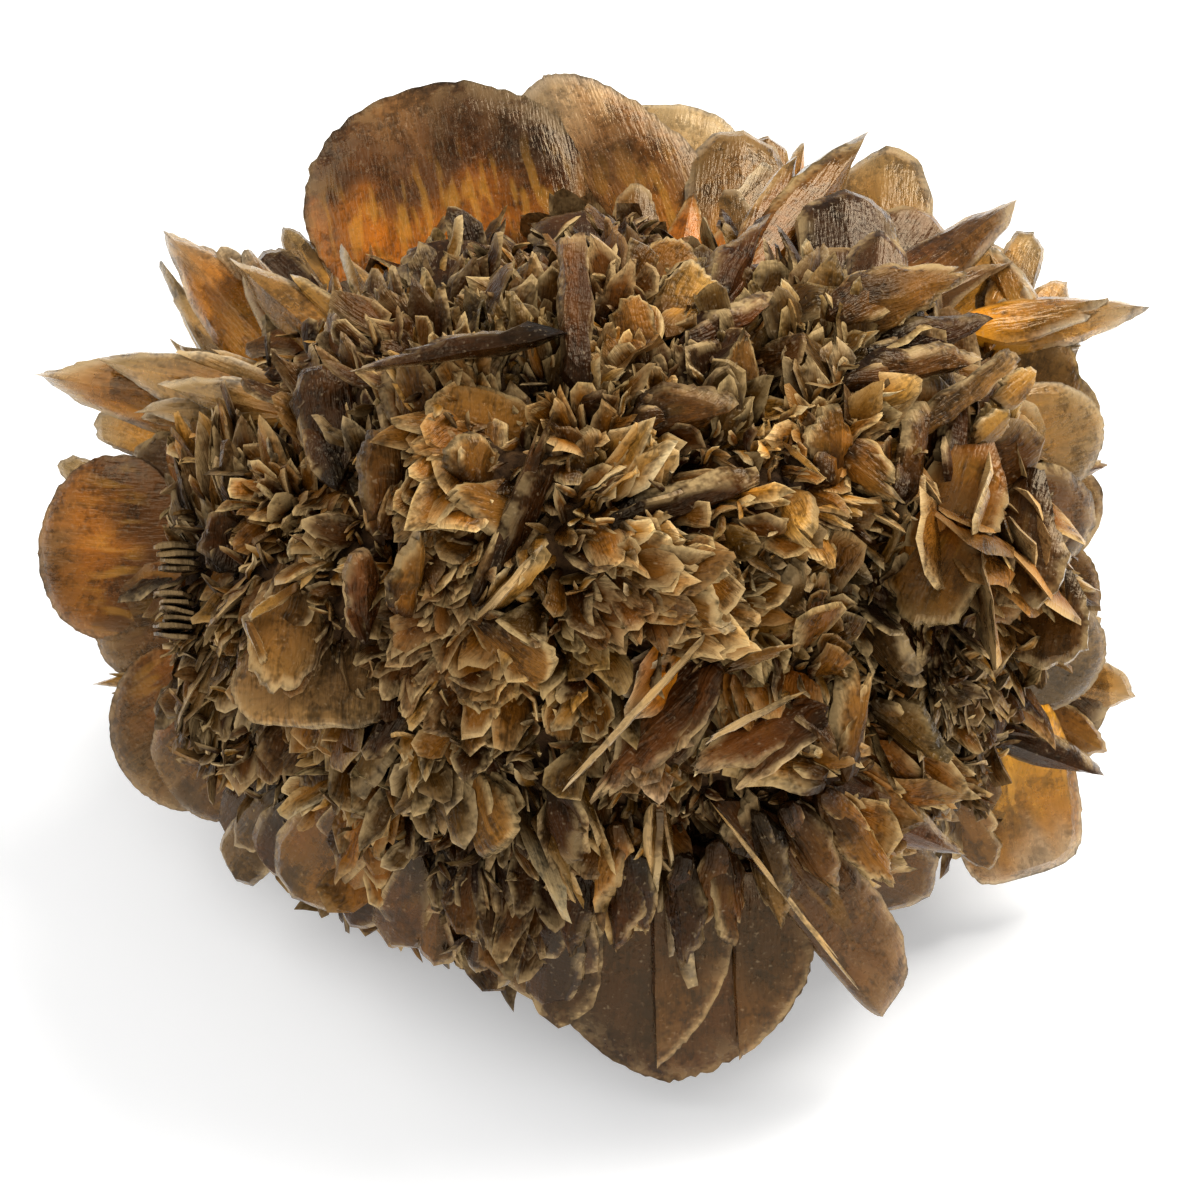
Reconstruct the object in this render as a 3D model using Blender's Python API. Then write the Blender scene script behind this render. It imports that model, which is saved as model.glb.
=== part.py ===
"""Selenite specimen: a cluster of bladed gypsum crystals grown together as one solid.

The cluster is an egg-shaped mass of small crystals.  Large clear discs and leaf-shaped blades
fan out around it, and shorter blades cover its display side.  It was broken off its rock below,
so it stands on a flat break at z = 0.  Units are metres, +Z is up, and the display side looks
towards -Y and up.

Blades are placed in the display frame, in millimetres: "right", "up" along the display face,
and "out" of it towards the viewer.  Right and up are given as they line up for an eye that is
VIEW_DISTANCE away, so a place deeper in the cluster spreads out along its sight line.
"""

import math
import random

import bmesh
import bpy
from mathutils import Matrix, Vector, noise

MM = 0.001

# Driving dimensions, in millimetres and degrees
FACE_TILT = 45.0            # the display face leans back this far from upright
VIEW_DISTANCE = 700.0       # eye to the middle of the cluster
CORE_HEIGHT = 30.5          # middle of the core above the break it stands on
CORE_HALF_SIZE = (41.5, 33.5, 35.5)
CORE_MIDDLE = (0.5, 0.0)
CORE_LUMP = 1.6             # how far lumps stand above or below the smooth core
CORE_LUMP_PITCH = 13.0
CORE_ROUNDS = 3             # subdivisions of the core's icosphere
RIM_SHARE = 0.42            # a blade's rim thickness over its middle thickness
WIDE_BLADE = 6.1            # a half width from which a blade's outline has 12 corners, not 8
SHARP_BLADE = 1.9           # blades up to this thickness narrow to a sharp rim
SEED = 7

# How a blade's half width grows from base to tip: t ** rise * (1 - t) ** fall, scaled to 1
FORMS = {
    "disc": (0.50, 0.50),
    "petal": (0.70, 0.36),
    "oval": (0.50, 0.65),
    "round": (0.60, 0.50),
    "leaf": (0.55, 0.85),
    "lance": (0.40, 1.00),
    "block": (0.20, 0.16),
}

# Each row: base (right, up, out), tip (right, up, out), half width to the left and to the right
# of the line from base to tip, turn about that line (0 faces the viewer, 90 is edge-on), form,
# middle thickness.
CROWN = [
    # three great discs at the back, behind the top of the display face
    ((-13, 27, -4), (-18.0, 51.3, -14), 14.2, 14.6, 0, "round", 3.2),
    ((6, 22, -12), (-5.4, 52.3, -22), 12.0, 12.6, 4, "oval", 3.2),
    ((4, 26, -20), (8.0, 49.0, -29), 8.8, 8.8, -6, "petal", 3.0),
    ((13, 30, -10), (14.2, 46.4, -22), 6.0, 5.5, 8, "petal", 2.6),
    ((16, 37, -18), (16.6, 46.1, -24), 2.6, 3.0, 10, "petal", 2.0),
    # the lens and the pale round blade to the right of them
    ((13.6, 30.6, 4), (25.6, 46.3, -12), 3.2, 3.4, 22, "leaf", 2.6),
    ((27.2, 21, -1), (28.6, 45.2, -18), 5.0, 5.4, -8, "petal", 2.6),
    ((25.4, 25.4, 10), (24.2, 40.2, -2), 5.2, 5.6, 12, "petal", 2.4),
    ((26.6, 21, 14), (27.9, 36.4, 4), 3.3, 3.6, 0, "petal", 2.2),
    # pointed blades at the top right
    ((24.5, 26.0, 5), (42.1, 39.8, -10), 3.5, 3.2, -14, "leaf", 2.4),
    ((43.4, 25, -2), (39.4, 35.4, -8), 2.3, 2.5, -24, "leaf", 2.0),
    ((38.5, 24.5, 1), (43.2, 36.4, -12), 2.6, 2.3, 0, "petal", 1.8),
    ((39.0, 23.0, 0), (46.4, 31.6, -10), 2.0, 1.8, 10, "petal", 1.8),
    ((35, 26.6, 1), (54.7, 29.1, -9), 2.8, 3.3, -8, "leaf", 2.6),
    # small blades under the great discs, at their left
    ((-24, 24, 0), (-33.4, 34.6, -12), 2.8, 2.4, 0, "petal", 2.0),
]

RIGHT_RIM = [
    ((38, 13, 0), (44.6, 27.4, -4), 7.6, 7.0, 14, "disc", 2.6),
    ((35, 13.5, 8), (50.0, 17.5, -2), 6.2, 6.6, 16, "disc", 2.4),
    ((35, 12, 2), (50.7, 13.6, -4), 2.2, 2.6, 10, "leaf", 1.8),
    ((36, 8, 10), (49.5, 7.6, -2), 6.4, 6.0, 12, "disc", 2.4),
    ((39, 5.0, 0), (50.2, 0.8, -5), 1.5, 1.6, 0, "lance", 1.4),
    ((37, 0, 0), (50.3, -3.6, -7), 3.0, 2.8, 10, "petal", 1.8),
    ((36, -3.5, 10), (50.0, -6.8, -3), 6.6, 6.2, 12, "disc", 2.4),
    ((39.5, -6, -1), (52.9, -9.2, -9), 2.6, 2.6, 14, "petal", 2.2),
    ((38.5, -8.5, 0), (50.3, -14.9, -7), 2.4, 2.2, 0, "petal", 1.8),
    ((38, -12.5, 4), (50.0, -16.8, -4), 2.0, 2.2, 24, "leaf", 2.0),
    # clear amber block at the lower right, and the tan blade beside it
    ((38.6, -9.5, 2), (42.4, -27.2, -8), 7.2, 6.4, -6, "block", 4.0),
    ((32.0, -16, 6), (39.4, -26.4, -4), 2.4, 2.6, 12, "petal", 2.0),
]

LOWER_RIM = [
    # two brown leaves, the great pointed blade and the great disc under them
    ((19, -18.5, 22), (36.0, -24.9, 8), 3.4, 3.4, 18, "leaf", 2.4),
    ((17, -21, 18), (32.6, -29.2, 4), 5.0, 4.4, 10, "petal", 2.4),
    ((13.5, -21, 24), (27.6, -41.2, 8), 8.0, 3.6, -10, "oval", 2.8),
    ((7.4, -24, 22), (7.0, -47.9, 10), 13.6, 13.4, 0, "disc", 3.0),
    ((6.0, -18.0, 30), (4.7, -33.2, 20), 3.6, 3.6, 82, "leaf", 1.5),
    # rows of upright petals at the lower left
    ((-6.0, -24, 20), (-9.6, -38.8, 13), 2.2, 2.2, 34, "leaf", 1.8),
    ((-3, -28, 24), (-5.2, -40.2, 13), 3.2, 3.2, 20, "petal", 2.0),
    ((-11.0, -24, 19), (-12.0, -37.2, 12), 2.4, 2.6, 30, "petal", 1.8),
    ((-14.5, -23.5, 18), (-16.2, -36.2, 11), 2.8, 2.8, 20, "petal", 1.8),
    ((-18, -25, 19), (-20.4, -34.2, 9), 3.4, 3.4, 14, "petal", 2.0),
    ((-20, -23, 17), (-24.6, -32.4, 7), 3.0, 3.2, 10, "petal", 2.0),
    ((-21.5, -18.5, 20), (-30.2, -29.1, 8), 5.2, 5.4, 0, "petal", 2.4),
    ((-31, -18.5, 8), (-36.6, -27.4, -3), 3.2, 3.2, 12, "petal", 2.0),
]

LEFT_RIM = [
    ((-34, -8, 4), (-47.2, -17.4, -6), 8.4, 8.8, 0, "disc", 2.6),
    ((-40.5, 4.5, 0), (-56.0, 5.0, -9), 9.0, 9.8, 0, "disc", 2.8),
    ((-39, 4.5, -4), (-53.8, 13.9, -14), 2.6, 2.4, 0, "petal", 1.8),
    ((-39, 14.5, -2), (-50.2, 17.4, -9), 2.0, 2.4, 0, "block", 2.2),
    # the long pointed blade at the left and the two plates grown over it
    ((-33, 19.2, 0), (-55.4, 22.5, -9), 4.4, 4.2, -6, "leaf", 2.8),
    ((-30.5, 20.2, 6), (-49.4, 23.9, -4), 3.0, 2.6, -26, "leaf", 2.2),
    ((-29.5, 19.4, 11), (-43.4, 22.9, 2), 2.2, 2.0, -30, "leaf", 2.0),
    # upper left: the blade with the clear amber foot, and the pale lens beside it
    ((-27.5, 19.0, 3), (-43.5, 36.7, -10), 4.0, 4.6, 4, "leaf", 2.8),
    ((-32.5, 16.6, -2), (-44.0, 33.4, -12), 1.7, 1.8, 20, "leaf", 1.6),
    ((-23.6, 23, 9), (-36.1, 33.8, -3), 2.9, 2.7, -10, "leaf", 2.4),
    ((-22.6, 25, 10), (-30.4, 32.4, 1), 1.7, 1.5, -20, "leaf", 1.6),
    ((-19.6, 25.4, 13), (-24.4, 33.6, 4), 1.5, 1.4, -10, "leaf", 1.5),
]

FACE_BLADES = [
    # dark leaf, arched edge-on blade and round dark blade at the upper left
    ((-14.6, 28.0, 12), (-14.8, 35.5, 5), 6.2, 6.0, 0, "disc", 2.0),
    ((-8.4, 27.6, 14), (-6.0, 33.0, 8), 4.0, 4.0, 10, "disc", 1.8),
    ((-3.2, 26.2, 24), (-26.4, 23.6, 20), 6.0, 6.0, 76, "leaf", 2.4),
    ((-26.4, 11.0, 27), (-27.6, 23.4, 17), 3.7, 4.4, -6, "petal", 2.2),
    ((-18.6, 13.0, 30), (-21.6, 23.2, 24), 2.4, 2.2, 46, "leaf", 1.8),
    # upright prism and the two pale discs to its right
    ((-2.2, 20.0, 33), (-2.7, 37.0, 21), 1.8, 1.7, 12, "block", 3.0),
    ((6.4, 26.4, 25), (10.8, 33.4, 17), 3.0, 3.2, -8, "disc", 1.8),
    # mauve blades and the deep gap beside them
    ((9.6, 27.0, 20), (15.8, 37.8, 8), 2.8, 2.6, 20, "leaf", 2.4),
    ((7.8, 25.2, 26), (16.8, 30.6, 18), 2.2, 2.0, 34, "leaf", 2.0),
    ((3.0, 17.5, 33), (13.6, 20.4, 29), 3.4, 3.0, 30, "leaf", 2.2),
    # leaves and arcs at the upper right
    ((22.6, 28.0, 20), (36.6, 32.5, 9), 4.2, 3.6, 0, "leaf", 2.0),
    ((26.0, 24.2, 20), (39.4, 28.6, 8), 2.4, 2.2, 26, "leaf", 2.0),
    ((24.0, 22.0, 25), (38.2, 24.8, 13), 2.4, 2.4, 34, "leaf", 2.0),
    ((29.0, 17.6, 24), (41.6, 24.6, 10), 3.0, 3.0, 16, "leaf", 2.2),
    ((30.0, 9.6, 27), (31.6, 20.4, 19), 2.2, 2.4, 58, "leaf", 1.8),
    ((37.4, 11.6, 10), (40.8, 20.6, 10), 2.4, 2.2, 10, "petal", 1.6),
    ((32.6, 9.4, 24), (33.2, -0.4, 22), 5.0, 5.4, 0, "petal", 2.0),
    ((38.0, 7.2, 18), (38.4, -2.8, 14), 4.4, 4.6, 0, "petal", 2.0),
    # middle: rosette of round blades, the dark diagonal blade and the dark lens
    ((-13.0, 10.0, 33), (-11.2, 21.4, 27), 6.2, 6.2, 6, "petal", 2.2),
    ((-12.8, -1.4, 35), (-4.4, 18.0, 33), 3.4, 3.4, 78, "leaf", 2.2),
    ((0.6, 7.6, 36), (16.8, 13.4, 32), 2.6, 2.6, 46, "leaf", 2.2),
    ((2.6, 11.4, 34), (4.4, 17.2, 33), 2.8, 2.8, 14, "disc", 1.6),
    ((18.4, 10.4, 33), (21.4, 5.4, 35), 2.6, 2.4, 16, "leaf", 1.6),
    ((22.6, 11.6, 30), (23.0, 19.8, 25), 3.8, 3.6, 10, "disc", 1.8),
    ((24.4, 15.2, 28), (30.2, 9.6, 27), 2.6, 2.4, 14, "leaf", 1.8),
    # left of the middle: disc with a pale rim on a wide plate, and the layered block
    ((-30.4, 3.2, 24), (-34.2, -7.2, 25), 3.8, 3.8, 0, "disc", 1.8),
    ((-27.6, -1.0, 27), (-28.2, -12.7, 27), 8.4, 8.2, 10, "petal", 2.0),
    ((-41.6, -5.2, 5), (-41.6, 6.6, 5), 2.2, 2.2, 0, "block", 4.4),
    ((-37.4, 2.6, 18), (-37.6, 9.2, 15), 3.0, 3.0, 0, "disc", 1.8),
    ((-21.6, 5.0, 31), (-21.4, 17.4, 28), 3.0, 3.0, 24, "petal", 2.6),
    # below the middle: long pale-edged blade, yellow rosette bands, pale plates
    ((-9.0, 0.0, 34), (-8.0, -8.4, 37), 4.6, 4.6, 24, "petal", 1.8),
    ((10.6, -4.2, 33), (-3.8, -18.6, 31), 3.6, 3.0, 52, "leaf", 1.8),
    ((19.6, -6.8, 34), (6.2, -9.8, 35), 3.0, 3.0, 62, "leaf", 2.2),
    ((24.2, -18.4, 28), (24.4, -4.6, 29), 2.8, 3.0, 44, "petal", 2.6),
    ((22.8, -17.8, 28), (12.0, -17.2, 30), 2.8, 2.8, 56, "leaf", 2.2),
    ((14.2, -25.4, 26), (15.0, -19.0, 27), 3.2, 3.2, 0, "disc", 1.8),
    ((-13.4, -15.6, 27), (-11.6, -24.8, 28), 4.0, 3.6, 10, "petal", 1.8),
    ((-4.0, -18.0, 32), (-2.4, -25.6, 28), 3.4, 3.4, 26, "leaf", 1.8),
    ((1.6, -22.0, 30), (0.6, -30.2, 24), 3.2, 3.2, 24, "petal", 1.8),
    ((26.0, -1.0, 26), (32.4, -8.4, 24), 3.6, 3.6, 14, "petal", 1.8),
    ((27.0, -9.6, 22), (35.4, -15.6, 18), 3.6, 3.4, 12, "petal", 1.8),
]

FACE_ROOT = 2.5             # the feet of the blades above go this much deeper
FACE_LIFT = 1.5             # and their tips stand this much further out

# Small rosettes that cover the display side: middle (right, up), radius
ROSETTES = [
    (0.0, 15.5, 6.0), (11.0, 13.5, 5.6), (22.5, 14.5, 6.5), (32.5, 14.0, 5.4),
    (-30.0, 12.5, 6.0), (-21.0, 11.0, 5.6), (-19.5, 1.0, 6.0), (-10.0, -4.5, 7.0), (-2.0, 6.0, 6.0), (7.5, 4.0, 6.0), (17.5, 3.5, 6.0),
    (27.0, 4.5, 5.8), (35.5, 3.0, 5.4), (-36.5, -7.0, 5.0), (-26.0, -12.5, 6.4),
    (-16.0, -13.0, 6.0), (-5.0, -15.0, 6.4), (4.0, -8.5, 5.8), (14.0, -7.0, 6.0),
    (24.0, -6.0, 5.6), (33.5, -7.0, 6.0), (-12.0, -23.0, 5.6),
    (-2.0, -24.5, 5.6), (15.5, -20.0, 6.0), (25.5, -16.5, 6.0),
    (-22.0, 20.0, 5.4), (-12.5, 24.5, 6.0), (-2.5, 26.0, 5.6),
    (7.0, 25.0, 6.4), (16.0, 23.5, 6.0), (25.5, 23.0, 6.0), (34.0, 19.5, 5.0),
    (14.0, 30.0, 4.6),
]
ROSETTE_PETALS = 5
ROSETTE_HEIGHT = 0.55       # petal tips above the core, as a share of the radius
ROSETTE_ROOT = 4.0          # depth of the foot in the core
ROSETTE_NOTCH = (0.76, 0.55)     # radius and height between two petals, as shares of the tips'
ROSETTE_EYE = 0.3           # height of the middle, as a share of the tips'
ROSETTE_JITTER = 0.16       # how unlike the petals are, as a share of the radius
ROSETTE_LEAN = 0.3

# The side that faces away from the viewer: blades and rosettes in turn on an even spiral
REAR_STEPS = 84             # places on the spiral over the whole ball
REAR_LENGTH = (19.0, 26.0)
REAR_WIDTH = (11.0, 19.0)
REAR_THICKNESS = (1.5, 1.9)
REAR_ROSETTE = (8.0, 10.5)  # radius range
REAR_ROOT = 9.0             # length of a rear blade that is buried in the core
REAR_LEAN = 0.45
REAR_EDGE = 0.0             # they start this far behind the middle, as a share of the ball's radius
REAR_REACH = (47.0, 43.0)   # tips stay inside this half width and half height of the display view
REAR_CLEARANCE = 6.0        # lowest tip above the break


def face_axes():
    """Return the display frame's right, up and out directions."""
    tilt = math.radians(FACE_TILT)
    right = Vector((1.0, 0.0, 0.0))
    up = Vector((0.0, math.sin(tilt), math.cos(tilt)))
    out = Vector((0.0, -math.cos(tilt), math.sin(tilt)))
    return right, up, out


def face_point(place):
    """Turn a display place (right, up, out) into a world point in millimetres."""
    right, up, out = face_axes()
    spread = (VIEW_DISTANCE - place[2]) / VIEW_DISTANCE
    point = right * place[0] * spread + up * place[1] * spread + out * place[2]
    return point + Vector((0.0, 0.0, CORE_HEIGHT))


def half_width(t, form):
    """Return a blade's half width at t along it, as a share of its greatest half width."""
    rise, fall = FORMS[form]
    widest = rise / (rise + fall)
    top = widest ** rise * (1.0 - widest) ** fall
    return max(t, 0.0) ** rise * max(1.0 - t, 0.0) ** fall / top


def blade_axes(base, tip, turn, facing):
    """Return the across, along and normal directions of a blade that is turned from facing."""
    along = (tip - base).normalized()
    normal = facing - along * facing.dot(along)
    if normal.length < 0.05:
        normal = Vector((0.0, 1.0, 0.0)) - along * along.y
    normal = Matrix.Rotation(math.radians(turn), 3, along) @ normal.normalized()
    return along.cross(normal), along, normal


def blade_mesh(name, length, left, right, form, thick):
    """Build a lens-shaped blade along +Y from the origin, in millimetres."""
    sides = 12 if max(left, right) > WIDE_BLADE else 8
    sharp = thick <= SHARP_BLADE
    widest = FORMS[form][0] / sum(FORMS[form])
    bm = bmesh.new()
    bmesh.ops.create_uvsphere(bm, u_segments=sides, v_segments=2 if sharp else 3, radius=1.0)
    for vert in bm.verts:
        side = 1.0 if vert.co.z > 0.0 else -1.0
        if math.hypot(vert.co.x, vert.co.y) < 0.1:
            vert.co = Vector((0.0, length * widest, side * thick / 2))
            continue
        angle = math.atan2(vert.co.y, vert.co.x)
        t = 0.5 + 0.5 * math.sin(angle)
        reach = right if math.cos(angle) > 0.0 else -left
        if abs(math.cos(angle)) < 1e-6:
            reach = 0.0
        rim = 0.0 if sharp else side * thick * RIM_SHARE / 2
        vert.co = Vector((reach * half_width(t, form), t * length, rim))
    mesh = bpy.data.meshes.new(name)
    bm.to_mesh(mesh)
    bm.free()
    return mesh


def add_blade(collection, name, base, tip, left, right, turn, form, thick, facing):
    """Add one blade that runs from base to tip, both world points in millimetres."""
    mesh = blade_mesh(name, (tip - base).length, left, right, form, thick)
    across, along, normal = blade_axes(base, tip, turn, facing)
    axes = Matrix((across, along, normal)).transposed().to_4x4()
    mesh.transform(Matrix.Scale(MM, 4) @ Matrix.Translation(base) @ axes)
    collection.objects.link(bpy.data.objects.new(name, mesh))


def add_rows(collection, group, rows, root=0.0, lift=0.0):
    """Add the blades of one hand-placed group, with feet deeper by root and tips out by lift."""
    for index, row in enumerate(rows):
        base, tip, left, right, turn, form, thick = row
        base = (base[0], base[1], base[2] - root)
        tip = (tip[0], tip[1], tip[2] + lift)
        add_blade(collection, f"{group}_{index + 1}", face_point(base), face_point(tip),
                  left, right, turn, form, thick, face_axes()[2])


def core_point(right, up):
    """Return where the smooth core lies under a display place, and its outward direction."""
    half = Vector(CORE_HALF_SIZE)
    middle = Vector((CORE_MIDDLE[0], CORE_MIDDLE[1], CORE_HEIGHT))
    inner, outer = 0.0, 2.0 * max(CORE_HALF_SIZE)
    for _ in range(30):
        out = (inner + outer) / 2
        away = face_point((right, up, out)) - middle
        if sum((away[i] / half[i]) ** 2 for i in range(3)) < 1.0:
            inner = out
        else:
            outer = out
    point = face_point((right, up, inner))
    slope = Vector([(point[i] - middle[i]) / half[i] ** 2 for i in range(3)])
    return point, slope.normalized()


def add_rosette(collection, name, middle, normal, radius):
    """Add one opened rose: a ring of pointed petals round a lower eye, on a narrow buried foot."""
    lean = Vector([random.uniform(-ROSETTE_LEAN, ROSETTE_LEAN) for _ in range(3)])
    aim = (normal + lean).normalized()
    start = random.uniform(0.0, math.tau)
    tall = radius * ROSETTE_HEIGHT
    bm = bmesh.new()
    bmesh.ops.create_uvsphere(bm, u_segments=2 * ROSETTE_PETALS, v_segments=2, radius=1.0)
    for vert in bm.verts:
        if math.hypot(vert.co.x, vert.co.y) < 0.1:
            height = tall * ROSETTE_EYE if vert.co.z > 0.0 else -ROSETTE_ROOT
            vert.co = Vector((0.0, 0.0, height))
            continue
        angle = math.atan2(vert.co.y, vert.co.x)
        notch = round(angle / math.pi * ROSETTE_PETALS) % 2 == 1
        reach, rise = ROSETTE_NOTCH if notch else (1.0, 1.0)
        jitter = random.uniform(-ROSETTE_JITTER, ROSETTE_JITTER)
        reach = radius * (reach + jitter)
        height = tall * (rise + jitter)
        vert.co = Vector((math.cos(angle) * reach, math.sin(angle) * reach, height))
    mesh = bpy.data.meshes.new(name)
    bm.to_mesh(mesh)
    bm.free()
    stand = Vector((0.0, 0.0, 1.0)).rotation_difference(aim).to_matrix().to_4x4()
    place = Matrix.Translation(middle) @ stand @ Matrix.Rotation(start, 4, "Z")
    mesh.transform(Matrix.Scale(MM, 4) @ place)
    collection.objects.link(bpy.data.objects.new(name, mesh))


def in_display_view(point):
    """Tell whether a world point lies well inside the outline seen from the display side."""
    right, up, _ = face_axes()
    place = point - Vector((0.0, 0.0, CORE_HEIGHT))
    return (place.dot(right) / REAR_REACH[0]) ** 2 + (place.dot(up) / REAR_REACH[1]) ** 2 < 1.0


def add_rear_blade(collection, name, surface, away):
    """Add one large blade that stands out of the core at a surface point."""
    lean = Vector([random.uniform(-REAR_LEAN, REAR_LEAN) for _ in range(3)])
    aim = (away + lean).normalized()
    length = random.uniform(*REAR_LENGTH)
    half = random.uniform(*REAR_WIDTH) / 2
    thick = random.uniform(*REAR_THICKNESS)
    form = random.choice(["petal", "petal", "disc", "oval"])
    base = surface - aim * REAR_ROOT
    tip = base + aim * length
    while not in_display_view(tip) and length > REAR_ROOT:
        length -= 1.0
        tip = base + aim * length
    if tip.z < REAR_CLEARANCE:
        return
    turn = random.uniform(-90.0, 90.0)
    add_blade(collection, name, base, tip, half, half, turn, form, thick, face_axes()[2])


def add_rear_crystals(collection):
    """Cover the side that faces away from the viewer with blades and rosettes."""
    out = face_axes()[2]
    half = Vector(CORE_HALF_SIZE)
    middle = Vector((CORE_MIDDLE[0], CORE_MIDDLE[1], CORE_HEIGHT))
    golden = math.pi * (3.0 - math.sqrt(5.0))
    for step in range(REAR_STEPS):
        height = 1.0 - 2.0 * (step + 0.5) / REAR_STEPS
        ring = math.sqrt(1.0 - height * height)
        away = Vector((ring * math.cos(step * golden), ring * math.sin(step * golden), height))
        surface = Vector([middle[i] + half[i] * away[i] for i in range(3)])
        if away.dot(out) > REAR_EDGE or surface.z < REAR_CLEARANCE:
            continue
        if step % 2 == 0:
            add_rear_blade(collection, f"rear_blade_{step}", surface, away)
        else:
            add_rosette(collection, f"rear_rosette_{step}", surface, away,
                        random.uniform(*REAR_ROSETTE))


def core_object(name):
    """Build the lumpy, faceted, egg-shaped mass in the middle of the cluster."""
    middle = Vector((CORE_MIDDLE[0], CORE_MIDDLE[1], CORE_HEIGHT))
    bm = bmesh.new()
    bmesh.ops.create_icosphere(bm, subdivisions=CORE_ROUNDS, radius=1.0)
    for vert in bm.verts:
        away = vert.co.normalized()
        smooth = Vector([CORE_HALF_SIZE[i] * away[i] for i in range(3)])
        rise = noise.noise(smooth / CORE_LUMP_PITCH) * 2.0 * CORE_LUMP
        vert.co = (smooth + away * rise + middle) * MM
    mesh = bpy.data.meshes.new(name)
    bm.to_mesh(mesh)
    bm.free()
    return bpy.data.objects.new(name, mesh)


def floor_cutter(name):
    """Build the box that cuts the cluster off flat at the break."""
    bm = bmesh.new()
    bmesh.ops.create_cube(bm, size=0.3)
    bmesh.ops.translate(bm, verts=bm.verts, vec=(0.0, 0.0, -0.15))
    mesh = bpy.data.meshes.new(name)
    bm.to_mesh(mesh)
    bm.free()
    return bpy.data.objects.new(name, mesh)


def crystal_material():
    """Return the brown, slightly see-through material of the crystals."""
    material = bpy.data.materials.new("brown_selenite")
    material.use_nodes = True
    shader = material.node_tree.nodes["Principled BSDF"]
    shader.inputs["Base Color"].default_value = (0.20, 0.10, 0.035, 1.0)
    shader.inputs["Roughness"].default_value = 0.35
    shader.inputs["Metallic"].default_value = 0.0
    shader.inputs["IOR"].default_value = 1.52
    shader.inputs["Transmission Weight"].default_value = 0.3
    material.diffuse_color = (0.35, 0.20, 0.08, 1.0)
    return material


def new_collection(name, hidden=False):
    """Make a collection in the scene; the cutters' one isn't rendered."""
    collection = bpy.data.collections.new(name)
    collection.hide_render = hidden
    bpy.context.scene.collection.children.link(collection)
    return collection


def main():
    for obj in list(bpy.data.objects):
        bpy.data.objects.remove(obj, do_unlink=True)
    random.seed(SEED)

    specimen = new_collection("selenite_specimen")
    blades = new_collection("blades_to_join", hidden=True)
    cutters = new_collection("cutters", hidden=True)

    add_rows(blades, "crown", CROWN)
    add_rows(blades, "right_rim", RIGHT_RIM)
    add_rows(blades, "lower_rim", LOWER_RIM)
    add_rows(blades, "left_rim", LEFT_RIM)
    add_rows(blades, "face", FACE_BLADES, FACE_ROOT, FACE_LIFT)
    for index, (right, up, radius) in enumerate(ROSETTES):
        middle, normal = core_point(right, up)
        add_rosette(blades, f"rosette_{index + 1}", middle, normal, radius)
    add_rear_crystals(blades)
    floor = floor_cutter("floor_cutter")
    cutters.objects.link(floor)
    for tool in list(blades.objects) + [floor]:
        tool.hide_render = True
        tool.display_type = "WIRE"

    cluster = core_object("selenite_cluster")
    specimen.objects.link(cluster)
    cluster.data.materials.append(crystal_material())
    join = cluster.modifiers.new("join_blades", "BOOLEAN")
    join.operation = "UNION"
    join.operand_type = "COLLECTION"
    join.collection = blades
    join.solver = "EXACT"
    cut = cluster.modifiers.new("cut_at_the_break", "BOOLEAN")
    cut.operation = "DIFFERENCE"
    cut.object = floor
    cut.solver = "EXACT"


main()
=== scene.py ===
"""Looks of the selenite specimen: every blade and scale as mesh, with amber, brown and cream crystal."""
import functools
import math
import random
from collections import namedtuple

import bpy
import numpy as np
from mathutils import Matrix, Vector, noise


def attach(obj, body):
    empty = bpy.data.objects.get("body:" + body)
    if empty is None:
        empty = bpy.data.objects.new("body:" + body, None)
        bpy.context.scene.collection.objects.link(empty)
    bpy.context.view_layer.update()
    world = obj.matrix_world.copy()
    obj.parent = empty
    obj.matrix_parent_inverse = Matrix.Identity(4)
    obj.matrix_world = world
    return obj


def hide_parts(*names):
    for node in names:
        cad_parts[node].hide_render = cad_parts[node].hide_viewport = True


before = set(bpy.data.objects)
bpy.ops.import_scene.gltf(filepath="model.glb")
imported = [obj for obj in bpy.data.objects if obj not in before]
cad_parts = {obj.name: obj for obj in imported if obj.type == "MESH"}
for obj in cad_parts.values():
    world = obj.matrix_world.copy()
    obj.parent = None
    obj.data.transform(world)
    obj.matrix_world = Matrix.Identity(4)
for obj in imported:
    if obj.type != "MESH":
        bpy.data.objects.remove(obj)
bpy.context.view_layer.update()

MM = 0.001
NODE = "selenite_cluster"

# The display frame, as in the CAD source: right, up along the display face, out to the viewer
FACE_TILT = 45.0
VIEW_DISTANCE = 700.0
CORE_HEIGHT = 30.5
CORE_HALF_SIZE = np.array((41.5, 33.5, 35.5))
CORE_MIDDLE = np.array((0.5, 0.0, CORE_HEIGHT))
HEART = np.array((0.0, 0.0, CORE_HEIGHT))   # where the display frame has its origin
VIEW_WIDTH = 120.0          # millimetres across the picture at the middle of the cluster
SEED = 11

# How a blade's half width grows from base to tip: t ** rise * (1 - t) ** fall
FORMS = {
    "disc": (0.50, 0.50),
    "petal": (0.70, 0.36),
    "oval": (0.50, 0.65),
    "round": (0.60, 0.50),
    "leaf": (0.55, 0.85),
    "lance": (0.40, 1.00),
    "block": (0.20, 0.16),
    "wedge": (0.85, 0.22),
}

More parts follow.
